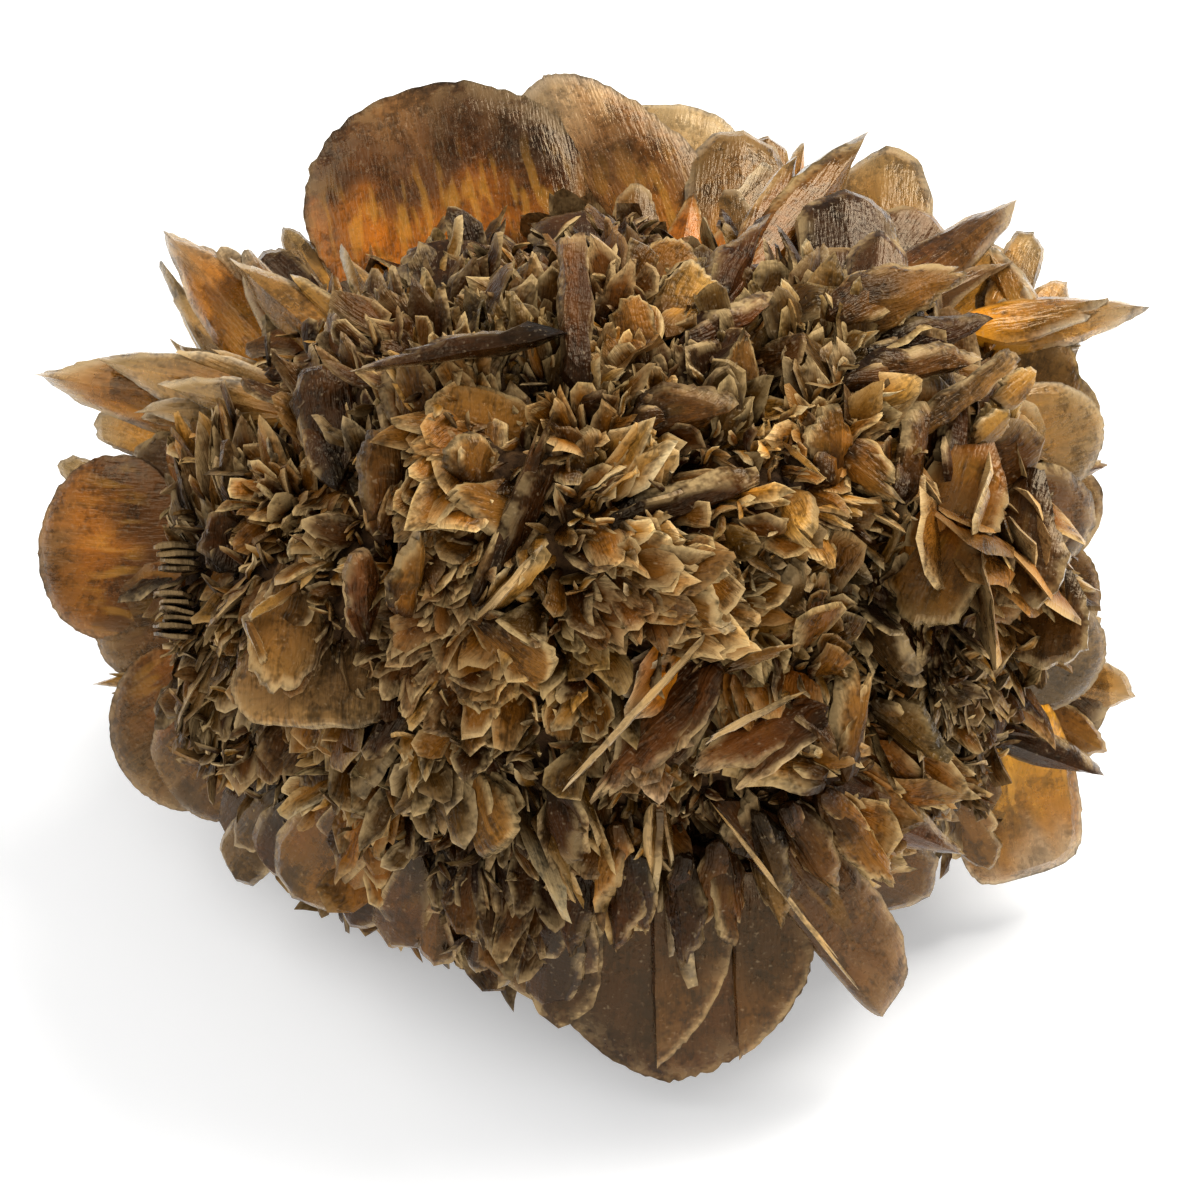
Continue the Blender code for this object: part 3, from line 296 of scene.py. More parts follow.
# Patches of small crystals on the display side.  Each row: middle of the patch (right, up), its
# half size (right, up), direction of the tips (0 right, 90 up), spread about it (360 for a rose),
# tilt out of the core, turn towards edge-on, number, length, width, form, look
PATCHES = [
    (5.5, -29.5, 4.5, 3.0, -90, 24, 18, 30, 12, 6.0, 3.2, "leaf", "umber"),
    (12.0, -28.0, 4.0, 3.0, -80, 24, 18, 30, 12, 5.6, 3.0, "leaf", "brown"),
    (-1.0, -31.0, 4.0, 2.6, -95, 24, 18, 30, 12, 6.0, 3.2, "leaf", "umber"),
    # above the middle, left
    (-13.5, 21.2, 3.5, 1.2, 75, 35, 38, 15, 14, 3.8, 1.6, "leaf", "tan"),
    (-12.0, 22.0, 4.8, 0.7, 92, 25, 48, 20, 12, 3.0, 1.2, "leaf", "cream"),
    (-17.4, 19.0, 0.8, 2.6, 130, 20, 40, 30, 7, 3.4, 1.6, "leaf", "cream"),
    (-12.0, 18.5, 2.2, 1.6, 110, 50, 30, 0, 8, 4.4, 3.6, "round", "tan"),
    (-7.8, 18.5, 2.0, 3.0, 80, 40, 14, 0, 6, 4.0, 3.0, "petal", "umber"),
    (-13.5, 15.2, 3.5, 1.8, 205, 35, 28, 10, 14, 4.6, 3.0, "petal", "tan"),
    (-13.5, 10.2, 5.0, 3.2, 250, 25, 25, 15, 22, 5.0, 4.2, "round", "tan"),
    (-17.0, 4.0, 2.0, 6.0, 262, 25, 30, 10, 18, 5.2, 3.4, "petal", "brown"),
    (-12.8, 5.5, 2.2, 1.5, 268, 12, 25, 0, 4, 5.6, 5.0, "round", "tan"),
    (-14.0, 2.5, 1.5, 2.5, 265, 25, 28, 10, 8, 4.6, 2.8, "petal", "brown"),
    (-19.5, 2.2, 1.0, 1.8, 230, 30, 36, 0, 4, 4.4, 1.8, "leaf", "cream"),
    (-21.3, 3.0, 1.2, 0.5, 180, 8, 22, 0, 2, 4.2, 1.5, "leaf", "cream"),
    (-25.0, 14.8, 2.5, 2.2, 120, 40, 35, 30, 14, 4.4, 2.8, "petal", "grey"),
    (-27.5, 11.2, 2.5, 2.7, 262, 30, 28, 0, 14, 4.8, 2.8, "petal", "tan"),
    (-27.5, 6.5, 2.5, 1.0, 268, 40, 30, 0, 9, 3.6, 2.4, "petal", "cream"),
    (-8.2, 23.5, 4.2, 1.5, 85, 30, 42, 0, 12, 4.4, 1.8, "leaf", "olive"),
    (-1.5, 21.0, 2.5, 1.0, 60, 40, 38, 20, 8, 4.0, 2.2, "petal", "cream"),
    (-2.8, 16.0, 3.0, 2.4, 90, 360, 0, 0, 24, 4.2, 2.8, "petal", "tan"),
    (1.2, 16.5, 1.5, 1.6, 60, 60, 35, 0, 6, 3.8, 2.4, "petal", "tan"),
    (4.0, 15.5, 2.0, 1.5, 10, 35, 32, 0, 10, 4.4, 2.4, "petal", "cream"),
    (1.0, 10.8, 3.0, 2.2, 40, 12, 22, 50, 16, 5.2, 3.0, "petal", "cream"),
    (-6.2, 5.4, 0.6, 1.2, 265, 10, 38, 0, 2, 4.6, 1.6, "leaf", "cream"),
    (-9.5, -2.5, 4.5, 1.6, 262, 30, 25, 0, 14, 5.6, 4.6, "petal", "amber"),
    (-9.5, -6.5, 4.5, 1.4, 265, 30, 25, 0, 12, 5.2, 4.4, "petal", "tan"),
    (-8.5, -1.8, 0.8, 1.2, 268, 12, 42, 0, 3, 4.8, 1.8, "leaf", "cream"),
    (-2.0, -2.8, 1.8, 1.6, 280, 40, 28, 0, 6, 4.6, 3.2, "petal", "olive"),
    (2.5, -6.0, 3.0, 2.5, 330, 60, 14, 0, 8, 4.2, 3.0, "petal", "umber"),
    (-0.2, 6.0, 2.6, 2.0, 330, 40, 30, 10, 10, 4.6, 3.0, "petal", "tan"),
    (3.0, 6.2, 3.0, 1.2, 355, 20, 30, 10, 8, 5.0, 2.2, "leaf", "cream"),
    (5.0, 3.8, 5.0, 1.7, 345, 22, 28, 10, 20, 5.2, 3.4, "petal", "tan"),
    (1.0, 0.2, 5.0, 2.2, 320, 30, 30, 10, 20, 5.0, 3.2, "petal", "brown"),
    (-1.0, -9.0, 3.0, 1.0, 270, 45, 35, 0, 9, 4.0, 2.6, "wedge", "tan"),
    (-2.2, -8.0, 1.2, 1.6, 235, 25, 42, 0, 4, 4.6, 1.8, "leaf", "cream"),
    (-15.5, -3.5, 5.0, 4.4, 235, 35, 28, 10, 26, 5.2, 3.4, "petal", "brown"),
    (-16.0, -7.0, 1.0, 2.0, 268, 15, 42, 0, 4, 4.8, 1.8, "leaf", "cream"),
    (-12.5, -10.2, 2.5, 1.4, 270, 12, 20, 0, 4, 5.6, 5.0, "wedge", "tan"),
    (-27.0, -11.5, 7.0, 1.0, 268, 20, 24, 0, 16, 4.8, 4.0, "wedge", "tan"),
    (-23.0, -14.2, 3.0, 1.7, 265, 40, 35, 10, 14, 4.4, 3.6, "round", "umber"),
    (-19.0, -13.8, 1.0, 1.2, 95, 25, 46, 0, 4, 4.4, 1.8, "leaf", "cream"),
    # above the middle, right
    (2.5, 23.0, 2.4, 2.0, 110, 40, 32, 10, 12, 4.4, 3.0, "petal", "tan"),
    (9.5, 21.0, 4.5, 2.0, 75, 40, 20, 20, 14, 5.0, 3.2, "petal", "umber"),
    (4.2, 18.8, 1.6, 1.7, 70, 40, 40, 60, 6, 4.2, 2.6, "round", "tan"),
    (8.0, 16.0, 2.0, 2.0, 45, 60, 10, 0, 6, 4.0, 3.0, "petal", "umber"),
    (12.0, 16.6, 2.0, 1.5, 60, 30, 30, 0, 8, 4.4, 3.0, "petal", "olive"),
    (17.0, 19.4, 2.0, 1.7, 305, 30, 36, 10, 8, 4.8, 2.4, "petal", "cream"),
    (15.2, 14.6, 1.7, 1.0, 0, 90, 32, 0, 7, 2.8, 1.4, "leaf", "cream"),
    (12.0, 9.8, 2.0, 0.8, 350, 10, 38, 0, 4, 4.8, 1.8, "leaf", "cream"),
    (19.0, 8.0, 2.4, 2.0, 300, 15, 26, 30, 8, 4.8, 2.6, "petal", "cream"),
    (21.5, 9.6, 1.4, 2.5, 315, 20, 40, 30, 8, 5.0, 1.2, "lance", "cream"),
    (23.0, 16.2, 3.0, 3.2, 90, 360, 0, 0, 26, 4.4, 3.0, "petal", "tan"),
    (25.0, 18.0, 2.0, 2.0, 40, 30, 45, 50, 6, 4.6, 3.0, "round", "cream"),
    (22.0, 20.4, 3.0, 1.5, 90, 50, 28, 0, 12, 4.6, 3.2, "petal", "grey"),
    (27.2, 11.8, 2.7, 2.7, 310, 35, 35, 10, 14, 5.0, 3.0, "wedge", "tan"),
    (17.2, 3.8, 3.8, 3.8, 330, 60, 30, 10, 26, 4.6, 3.0, "petal", "grey"),
    (26.5, -3.0, 3.2, 13.0, 270, 70, 12, 0, 34, 4.4, 2.8, "petal", "umber"),
    (26.5, -2.0, 3.0, 12.0, 280, 25, 40, 20, 16, 4.0, 1.1, "lance", "cream"),
    (29.5, 3.2, 0.5, 2.2, 95, 8, 36, 60, 3, 5.2, 2.0, "lance", "cream"),
    (35.0, 17.5, 5.0, 7.5, 60, 50, 32, 10, 22, 8.5, 7.0, "round", "brown"),
    (36.2, 22.5, 1.2, 2.0, 80, 25, 30, 0, 4, 6.0, 4.5, "round", "amber"),
    (31.0, 12.5, 1.0, 2.5, 285, 25, 36, 20, 6, 5.2, 3.0, "petal", "tan"),
    (39.0, 16.8, 1.6, 2.8, 70, 35, 42, 0, 6, 5.2, 3.0, "petal", "cream"),
    (39.0, 6.5, 5.5, 5.0, 215, 30, 24, 0, 18, 9.5, 7.5, "round", "tan"),
    (36.0, 10.0, 3.0, 1.0, 230, 20, 26, 0, 5, 7.5, 6.0, "round", "amber"),
    (32.2, -3.0, 3.7, 3.0, 250, 50, 14, 0, 14, 4.4, 3.2, "petal", "umber"),
    (28.5, -3.5, 1.5, 1.5, 240, 40, 36, 0, 5, 3.8, 2.2, "petal", "grey"),
    (37.5, -5.5, 0.9, 2.5, 270, 15, 45, 30, 6, 3.6, 1.2, "lance", "cream"),
    (32.5, -9.0, 3.5, 2.0, 230, 70, 30, 0, 16, 3.4, 2.0, "petal", "grey"),
    (36.0, -10.0, 5.0, 6.0, 270, 180, 32, 0, 50, 2.6, 1.8, "petal", "slate"),
    (8.5, 0.0, 8.5, 2.0, 340, 25, 28, 10, 26, 5.0, 3.2, "petal", "tan"),
    (7.5, -3.2, 2.5, 0.8, 350, 12, 32, 0, 4, 5.6, 3.0, "leaf", "tan"),
    (13.0, -3.5, 3.0, 1.5, 330, 40, 28, 0, 12, 4.6, 3.0, "petal", "olive"),
    (21.5, -4.5, 3.0, 4.0, 85, 15, 25, 10, 10, 6.0, 3.4, "wedge", "tan"),
    (8.0, -7.0, 2.0, 1.8, 200, 30, 25, 0, 6, 5.2, 4.0, "petal", "gold"),
    (16.0, -8.2, 6.0, 1.2, 265, 20, 28, 0, 16, 4.8, 3.6, "petal", "amber"),
    (15.5, -10.8, 5.5, 1.2, 270, 40, 12, 0, 12, 4.2, 3.0, "petal", "umber"),
    (24.0, -11.0, 2.0, 3.0, 300, 40, 35, 10, 12, 4.2, 2.4, "petal", "tan"),
    (24.0, -11.0, 2.0, 3.0, 300, 60, 42, 10, 5, 3.4, 1.4, "leaf", "cream"),
    (4.5, -12.0, 4.5, 2.0, 300, 40, 25, 0, 14, 5.6, 4.4, "petal", "rust"),
    (11.5, -13.2, 1.5, 1.3, 220, 15, 42, 30, 5, 5.2, 1.6, "lance", "cream"),
    (16.5, -14.2, 3.5, 1.0, 350, 15, 28, 0, 6, 6.0, 3.0, "leaf", "tan"),
    (19.5, -14.0, 1.5, 1.0, 330, 25, 42, 0, 4, 4.2, 2.0, "petal", "cream"),
    # below
    (-22.5, -19.5, 2.5, 3.5, 240, 25, 28, 0, 14, 5.6, 3.6, "petal", "amber"),
    (-23.2, -25.5, 1.8, 3.5, 250, 20, 25, 0, 8, 6.0, 4.4, "round", "amber"),
    (-18.2, -14.0, 1.2, 2.0, 265, 20, 42, 0, 5, 4.6, 1.8, "leaf", "cream"),
    (-15.5, -16.8, 2.5, 2.2, 255, 40, 32, 0, 14, 4.6, 3.0, "petal", "grey"),
    (-11.0, -18.5, 2.0, 1.5, 265, 30, 36, 0, 7, 4.4, 2.6, "petal", "cream"),
    (-10.0, -17.0, 1.8, 3.0, 270, 60, 10, 0, 6, 4.0, 3.0, "petal", "umber"),
    (-10.0, -20.5, 2.0, 4.0, 265, 12, 30, 75, 8, 5.6, 2.6, "leaf", "grey"),
    (-4.0, -21.0, 3.0, 5.0, 300, 10, 36, 70, 12, 7.0, 2.4, "lance", "cream"),
    (0.5, -22.0, 4.5, 4.0, 270, 25, 28, 15, 18, 6.0, 4.6, "petal", "brown"),
    (2.5, -25.0, 2.5, 3.0, 265, 20, 28, 0, 8, 6.5, 4.6, "round", "amber"),
    (9.0, -26.0, 0.8, 5.0, 268, 8, 30, 70, 5, 7.0, 2.0, "lance", "grey"),
    (11.5, -23.5, 2.5, 5.0, 270, 60, 10, 0, 10, 4.2, 3.0, "petal", "umber"),
    (15.0, -21.5, 2.0, 2.2, 90, 360, 0, 0, 16, 3.2, 2.2, "petal", "grey"),
    (-9.5, -28.5, 9.0, 4.5, 268, 18, 34, 20, 50, 6.0, 3.2, "petal", "umber"),
    (-9.5, -28.0, 9.0, 4.5, 265, 18, 40, 20, 26, 6.4, 3.2, "petal", "brown"),
    (22.5, -23.5, 5.5, 5.0, 350, 20, 24, 10, 26, 6.5, 4.5, "petal", "amber"),
    (27.5, -24.5, 4.0, 2.5, 325, 22, 26, 0, 18, 6.0, 2.6, "leaf", "tan"),
    (29.5, -17.5, 4.5, 2.5, 330, 18, 28, 0, 20, 5.6, 3.0, "leaf", "amber"),
    (34.5, -16.2, 1.5, 1.2, 300, 90, 36, 0, 7, 2.8, 1.6, "wedge", "grey"),
    (37.0, -16.0, 2.5, 3.0, 300, 180, 26, 0, 24, 2.4, 1.6, "petal", "slate"),
    (-37.8, -12.0, 1.8, 2.0, 240, 60, 36, 0, 10, 3.2, 1.8, "wedge", "grey"),
    (-34.5, -16.5, 1.5, 1.5, 200, 80, 36, 0, 7, 2.6, 1.4, "wedge", "cream"),
    (-31.0, -14.5, 5.0, 1.5, 262, 30, 28, 0, 18, 4.8, 3.6, "round", "brown"),
    (-28.0, -18.0, 2.0, 3.0, 215, 12, 34, 60, 10, 5.2, 3.0, "round", "cream"),
    (-31.0, -20.0, 2.5, 3.0, 240, 40, 20, 0, 12, 4.6, 3.4, "petal", "umber"),
    (-24.0, -18.0, 2.0, 2.0, 260, 30, 36, 0, 6, 4.4, 2.0, "leaf", "cream"),
    # left
    (-36.5, 15.8, 2.2, 2.2, 90, 360, 0, 0, 18, 3.6, 2.4, "petal", "tan"),
    (-32.5, 14.4, 2.2, 2.2, 90, 360, 0, 0, 18, 3.6, 2.4, "petal", "grey"),
    (-33.8, 17.0, 2.8, 1.5, 100, 60, 14, 0, 10, 4.2, 3.0, "petal", "umber"),
    (-38.5, 11.0, 3.4, 4.0, 65, 12, 30, 70, 20, 6.0, 3.0, "leaf", "brown"),
    (-39.6, 11.8, 1.2, 3.0, 65, 8, 36, 75, 5, 6.0, 2.6, "lance", "cream"),
    (-40.0, 7.5, 1.6, 2.5, 120, 60, 30, 0, 14, 3.6, 2.4, "petal", "slate"),
    (-32.5, 10.0, 2.5, 3.5, 90, 360, 0, 0, 24, 4.4, 3.0, "petal", "tan"),
    (-37.6, 0.0, 1.2, 2.0, 250, 25, 36, 0, 4, 4.6, 2.8, "round", "cream"),
    (-27.8, -3.5, 2.2, 3.5, 280, 20, 30, 30, 8, 5.6, 4.0, "round", "brown"),
    (-39.5, -6.5, 2.5, 3.5, 235, 25, 24, 0, 12, 6.0, 4.8, "round", "grey"),
    # the upper band, under the great discs
    (-14.0, 30.0, 6.0, 1.5, 85, 30, 42, 0, 12, 4.8, 2.4, "leaf", "brown"),
    (-15.5, 31.5, 2.0, 0.8, 80, 25, 55, 0, 3, 4.4, 1.6, "leaf", "cream"),
    (-10.0, 31.0, 1.4, 0.8, 95, 25, 55, 0, 3, 4.4, 1.6, "leaf", "cream"),
    (-27.0, 20.5, 3.5, 2.0, 140, 40, 36, 0, 12, 5.2, 3.0, "petal", "brown"),
    (-20.0, 26.0, 4.0, 3.0, 120, 40, 36, 10, 20, 5.2, 3.0, "petal", "brown"),
    (-19.0, 27.5, 3.0, 2.0, 110, 30, 45, 10, 6, 4.6, 1.6, "leaf", "cream"),
    (-8.0, 28.0, 5.0, 3.0, 95, 50, 34, 0, 26, 4.8, 3.0, "petal", "tan"),
    (0.0, 29.5, 4.0, 3.0, 90, 50, 36, 0, 22, 4.8, 3.0, "petal", "brown"),
    (12.5, 28.5, 5.0, 3.5, 80, 50, 34, 0, 30, 5.0, 3.2, "petal", "olive"),
    (20.0, 29.0, 4.5, 3.0, 75, 40, 36, 0, 24, 5.2, 3.0, "petal", "brown"),
    (23.0, 25.5, 5.0, 3.5, 60, 60, 34, 0, 34, 5.0, 3.4, "petal", "olive"),
    (21.0, 26.5, 4.0, 3.0, 70, 60, 42, 20, 10, 4.2, 2.2, "petal", "cream"),
    (31.0, 24.5, 4.5, 3.0, 30, 30, 32, 10, 24, 6.2, 3.2, "leaf", "tan"),
    (35.0, 24.0, 3.0, 3.0, 45, 40, 36, 0, 16, 6.0, 3.4, "petal", "mauve"),
    (28.0, 29.0, 4.0, 2.0, 60, 40, 36, 0, 16, 5.2, 3.0, "petal", "olive"),
    (39.0, 19.0, 2.0, 4.0, 30, 40, 36, 0, 12, 7.0, 5.4, "round", "brown"),
]

# Hollows and mounds of the display side: middle (right, up), radius, rise
RELIEF = [
    (26.5, 4.0, 4.0, -4.0),
    (26.5, -4.0, 4.5, -5.0),
    (27.5, -12.0, 4.0, -3.5),
    (32.0, -3.5, 4.0, -4.0),
    (2.5, -6.5, 4.0, -4.0),
    (-7.6, 18.0, 3.0, -4.0),
    (-33.8, 17.0, 3.5, -3.5),
    (8.5, 16.5, 3.2, -3.5),
    (-10.0, -18.0, 2.8, -3.5),
    (11.5, -23.5, 3.2, -4.5),
    (-22.0, -14.0, 3.2, -3.5),
    (-19.5, 5.5, 2.4, -3.0),
    (-7.0, 10.0, 2.4, -2.5),
    (17.0, 22.0, 3.5, -3.5),
    (7.0, 24.5, 3.0, -2.5),
    (-31.0, -20.5, 3.5, -3.5),
    (-30.0, 7.5, 2.4, -2.5),
    (14.0, -11.5, 3.5, -3.0),
    (-16.5, 27.0, 4.0, -2.5),
    (-12.0, 13.0, 6.5, 2.2),
    (5.0, 3.0, 7.0, 1.8),
    (16.0, 8.0, 6.0, 1.5),
    (-28.0, -3.5, 6.0, 1.5),
    (-12.0, -7.0, 6.0, 1.2),
    (38.0, 8.0, 6.0, 1.5),
    (22.0, 16.0, 5.0, 1.5),
    (16.0, -8.0, 5.0, 1.5),
    (-14.0, -22.0, 6.0, 1.2),
    (2.0, -24.0, 6.0, 1.2),
]

# The layered block at the left: its middle, the heights of its plates and their half sizes
BLOCK_MIDDLE = (-42.3, 0.0, 9.5)
BLOCK_HEIGHTS = (5.2, 4.5, 3.8, 3.2, 0.6, -0.2, -1.0, -1.8, -2.6, -3.5)
BLOCK_HALF_WIDTH = 1.9
BLOCK_HALF_DEPTH = 3.4
BLOCK_THICKNESS = 0.85
BLOCK_SHIFT = 0.4           # how far a plate stands sideways from the others, at most
BLOCK_PALE = 0.3
BLOCK_REACH = (-0.4, 0.5)   # how much further out than the others
BLOCK_TURN = 5.0
BLOCK_WIDTH = (0.85, 1.15)
BLOCK_SHADE = (0.75, 1.2)
BLOCK_RAGGED = 0.03

# The core: its mesh, its lumps, and the fine grit on it
CORE_RINGS = 90
CORE_SIDES = 140
CORE_TRIES = 41             # places tried on the way inwards, to find the core under one
LUMP = 1.6
LUMP_PITCH = 13.0
GRIT = 0.9
GRIT_PITCH = 1.7
GRIT_DEPTH = 0.5

# Smooth waves that bend every crystal a little
WAVE_SEED = 21
WAVE_LENGTHS = (7.0, 5.5, 4.5, 3.6, 3.0, 2.5, 2.1)    # millimetres
WAVE_TURNS = 3.6            # over three axes this comes to about one turn in a wave length
RIM_BEND = 0.02
FACE_BEND = 0.06
SMALL_BEND = 0.12

# How one crystal is cut: Detail holds the sides round it, the radii of its rings in front and
# behind, the corners of its outline, how far up the hidden foot reaches, where the rim begins,
# and how much of WARMTH its body takes
Detail = namedtuple("Detail", "sides fronts backs corners foot edge stained")
GREAT = Detail(128, (0.06, 0.25, 0.42, 0.56, 0.70, 0.83, 0.92, 0.97, 1.0), (0.5, 0.9, 1.0),
               30, 0.34, 0.94, 0.35)
LARGE = Detail(56, (0.08, 0.40, 0.67, 0.82, 0.92, 1.0), (0.6, 1.0), 12, 0.15, 0.86, 0.7)
MEDIUM = Detail(28, (0.35, 0.75, 0.92, 1.0), (1.0,), 9, 0.10, 0.84, 0.8)
SMALL = Detail(12, (0.52, 0.88, 1.0), (), 8, 0.0, 0.80, 1.0)
GREAT_WIDTH = 6.4           # blades of a larger half width are GREAT
MAX_TRIANGLES = 150000      # in one piece
SHARP_ANGLE = 28.0
CORNER_JITTER = 0.45        # of the way to the next corner
STRAIGHT, ROUND = 0.8, 0.2  # shares of the straight and the smooth outline
BROKEN = 2.2                # how far corners are cut back, over the raggedness
SOUND = 0.02                # crystals no more ragged than this have whole corners
SOUND_BREAK = 0.004
RAGGED_SPAN = (0.15, 0.25)  # where along a blade its rim turns ragged, and over what length
FINE_WOBBLE = 0.55
SLOW_WOBBLE = 0.5
SLOW_WAVES = (2, 3, 5, 7)
GROWTH = 0.012              # how far the inner rings, its growth lines, wander
GROWTH_EDGE = 0.95          # only rings inside this wander
UNEVEN = 0.03               # bumps on a small crystal's face, over its thickness
DOME = 0.14                 # fall of a face from its middle
BEVEL = 0.48                # and its further fall over the bevel
BEVEL_SPAN = (0.8, 0.2)
BACK_FALL = 0.62
BACK_POWER = 2.5
RIDGES = {"leaf": 0.55, "lance": 0.5, "petal": 0.25, "wedge": 0.3}   # crest over thickness
LEAST_REACH = 0.05
BEND_FROM = 0.35            # a bend starts here along a blade, both ways

# How one crystal is coloured
WARMTH = np.array((0.87, 0.62, 0.24))   # iron staining of the body of each crystal
SWAY = 0.13                 # how unevenly the colours follow a blade's length
SWAYS = ((0.5, 0.45, 0.0), (0.3, 1.1, 0.0), (0.35, 2.3, 9.0))   # strength, waves across and along
FACE_SHADE = 0.3            # painted shade: how much one half of a blade may be darker than the other, as a lit and a shaded facet
RIM_SPAN = (0.2, 0.25)      # the rim turns pale from here on, over this length: partly frost, partly a painted highlight where the edge catches the light
ROOT_SHADE = 0.25            # painted shade: how much darker a small crystal is at its root
ROOT_SHADE_SPAN = (0.0, 0.6)
OUTLINE = 0.5               # the very edge of a blade is darker by this share
OUTLINE_SPAN = (0.98, 0.02)
SPECKLE = 0.10
FOOT_CLEAR, TIP_CLEAR = 0.35, 0.65      # shares of the clearness: at the foot, and added on the way up
CLEAR_SPAN = (0.0, 0.6)
RIM_DULL = 0.35             # the rim is less clear by this share
GLOW_LENGTH = 0.45          # the painted glow of a blade's foot fades over this share of its length
FROST_EDGE = (0.70, 0.3)
FROST_SPAN = (0.15, 0.3)
GREAT_FROST = 0.3
PLACE_RANGE = 400.0         # each crystal has its own part of the streaks' pattern

# How listed blades are set
RAGGED_WIDTH = 3.4          # wider blades than this are less ragged
GREAT_RAGGED = 0.012
RIGHT_RAGGED = 0.05
BAR_RAGGED = 0.10
BAR_PALES = (0.5, 0.8)
FACE_RAGGED = 0.07
FACE_PALES = (0.2, 0.8)
ROW_BEND = (-0.03, 0.05)
ROW_SHADE = (1.0, 1.2)
FACE_ROOT = 1.0             # the feet of the face blades go this much deeper
FACE_LIFT = 2.5             # and their tips stand this much further out, over the small crystals
ECHOES = 3                  # thin plates grown at the foot of each blade
ECHO_WIDTH = 6.9            # but none on blades of a larger half width, or on blocks
ECHO_SIZE = (0.45, 0.85)
ECHO_SWING = 0.32
ECHO_TURN = 25.0
ECHO_THICKNESS = 0.45       # over the blade's
ECHO_START = 0.7            # the first plate lies this many plates behind the blade
ECHO_RAGGED = 0.04
ECHO_PALE = (0.5, 1.0)
ECHO_SHADE = (0.8, 1.2)
PLATE_BEND = (-0.05, 0.1)   # of the echoes and the rear blades
LEAST_FACING = 0.05         # a blade that points almost where it should face turns to +Y

# Small crystals: in patches, on the ground between them, and as chips
PETAL_FORMS = {
    "petal": ("leaf", "leaf", "oval", "leaf", "petal"),
    "round": ("oval", "petal", "oval"),
    "leaf": ("leaf",),
    "lance": ("lance",),
    "wedge": ("wedge", "petal"),
}
PETAL_THICKNESS = 0.4       # of a petal 4 mm long
PETAL_ROOT = 1.2
PETAL_FLOOR = 0.6           # no tip comes lower than this
PETAL_RAGGED = 0.05
PETAL_HALVES = (0.8, 1.2)   # its two halves differ in width
PETAL_CURVE = (-0.10, 0.05)
PETAL_PALE = (0.1, 1.0)
PETAL_SHADE = (0.68, 1.3)
SINK = 1.6                  # small crystals under the face blades stay up to this much lower
SINK_SLOPE = 1.6
COVER_SPAN = (0.15, 0.9)    # the part of a face blade that counts for this
COVER_EDGE = 0.9            # its least half width, over its thickness
HILL_SHADE = 0.10           # painted shade: lighter on mounds and darker in hollows, per millimetre
HILL_LIMITS = (0.5, 1.25)
# Painted shade, where the display side lies in shade: darker small crystals: middle (right, up), reach,
# and how much darker
PAINTED_SHADE_ZONES = ((-17.0, 6.0, 7.0, 0.35), (18.0, 30.0, 9.0, 0.45), (-12.0, 30.0, 12.0, 0.40),
              (-10.0, -25.0, 14.0, 0.50), (2.0, -34.0, 10.0, 0.40), (21.0, -1.0, 7.0, 0.40),
              (5.0, 8.0, 8.0, 0.20), (30.0, 18.0, 7.0, 0.25), (-30.0, -14.0, 10.0, 0.20))
PATCH_DENSITY = 2.05
PATCH_DOME = 1.3            # each patch bulges by this much
PATCH_SHADE = 0.5           # and is lighter in its middle, darker towards its edge: painted shade
PATCH_SIZE = 0.94
PATCH_SIZES = (-0.03, 0.30)     # lognormal middle and spread
PATCH_LIMITS = (0.5, 1.7)
ROSE = 360                  # the spread that marks a patch as a rose, with its petals all round
ROSE_LEAN = (76.0, 46.0)    # tilt at the middle of a rose, and how much less it is at its edge
# How far the crystals of a patch stray: in place and, for a rose (ROSE_) or any other patch
# (FLAT_), in direction, tilt and turn
PATCH_STRAY = 0.3
ROSE_STRAY = 0.5
ROSE_TILT = 9.0
ROSE_TURN = 32.0
FLAT_TILT = (-4.0, 18.0)
FLAT_TURN = 38.0
PATCH_WIDTH = (0.85, 1.15)
GROUND_STEPS = 3600
GROUND_LENGTH = 3.7
GROUND_SPREAD = 0.38        # lognormal
GROUND_LIMITS = (1.8, 8.0)
GROUND_WIDTH = 0.58         # over the length
# painted shade: the ground between the patches is darker, as in crevices
GROUND_SHADE = 0.8
GROUND_TILT = (22.0, 62.0)
GROUND_TURN = 50.0
GROUND_FLOOR = 0.5
GROUND_FORMS = ("petal", "round", "leaf", "wedge")
PATCH_LOOKS = 0.45          # share of the ground with the look of the patch beside it
HIGH_LOOKS = ("brown", "tan", "olive", "umber", "brown")
LOW_LOOKS = ("umber", "brown", "umber", "rust", "umber")
LOW_GROUND = -20.0          # painted shade: below this the small crystals are darker
LOW_FRONT = 0.3             # and so are those that face the viewer less than this
PALE_LOOKS = ("cream", "gold")  # these turn to tan on the ground
REAR_GROUND = -0.1          # ground that faces away more than this has fewer, larger crystals
REAR_GROUND_SCALE = 1.7
CHIP_COUNT = 1500
CHIP_REACH = (44.0, 36.0)
CHIP_JITTER = 1.0
CHIP_RISE = (0.3, 2.4)
CHIP_TILT = (25.0, 75.0)
CHIP_TURN = 80.0
CHIP_LENGTH = (1.2, 2.8)
CHIP_WIDTH = (0.35, 0.7)    # over the length
CHIP_LOOKS = ("tan", "brown", "cream", "umber", "tan", "olive", "grey", "brown")

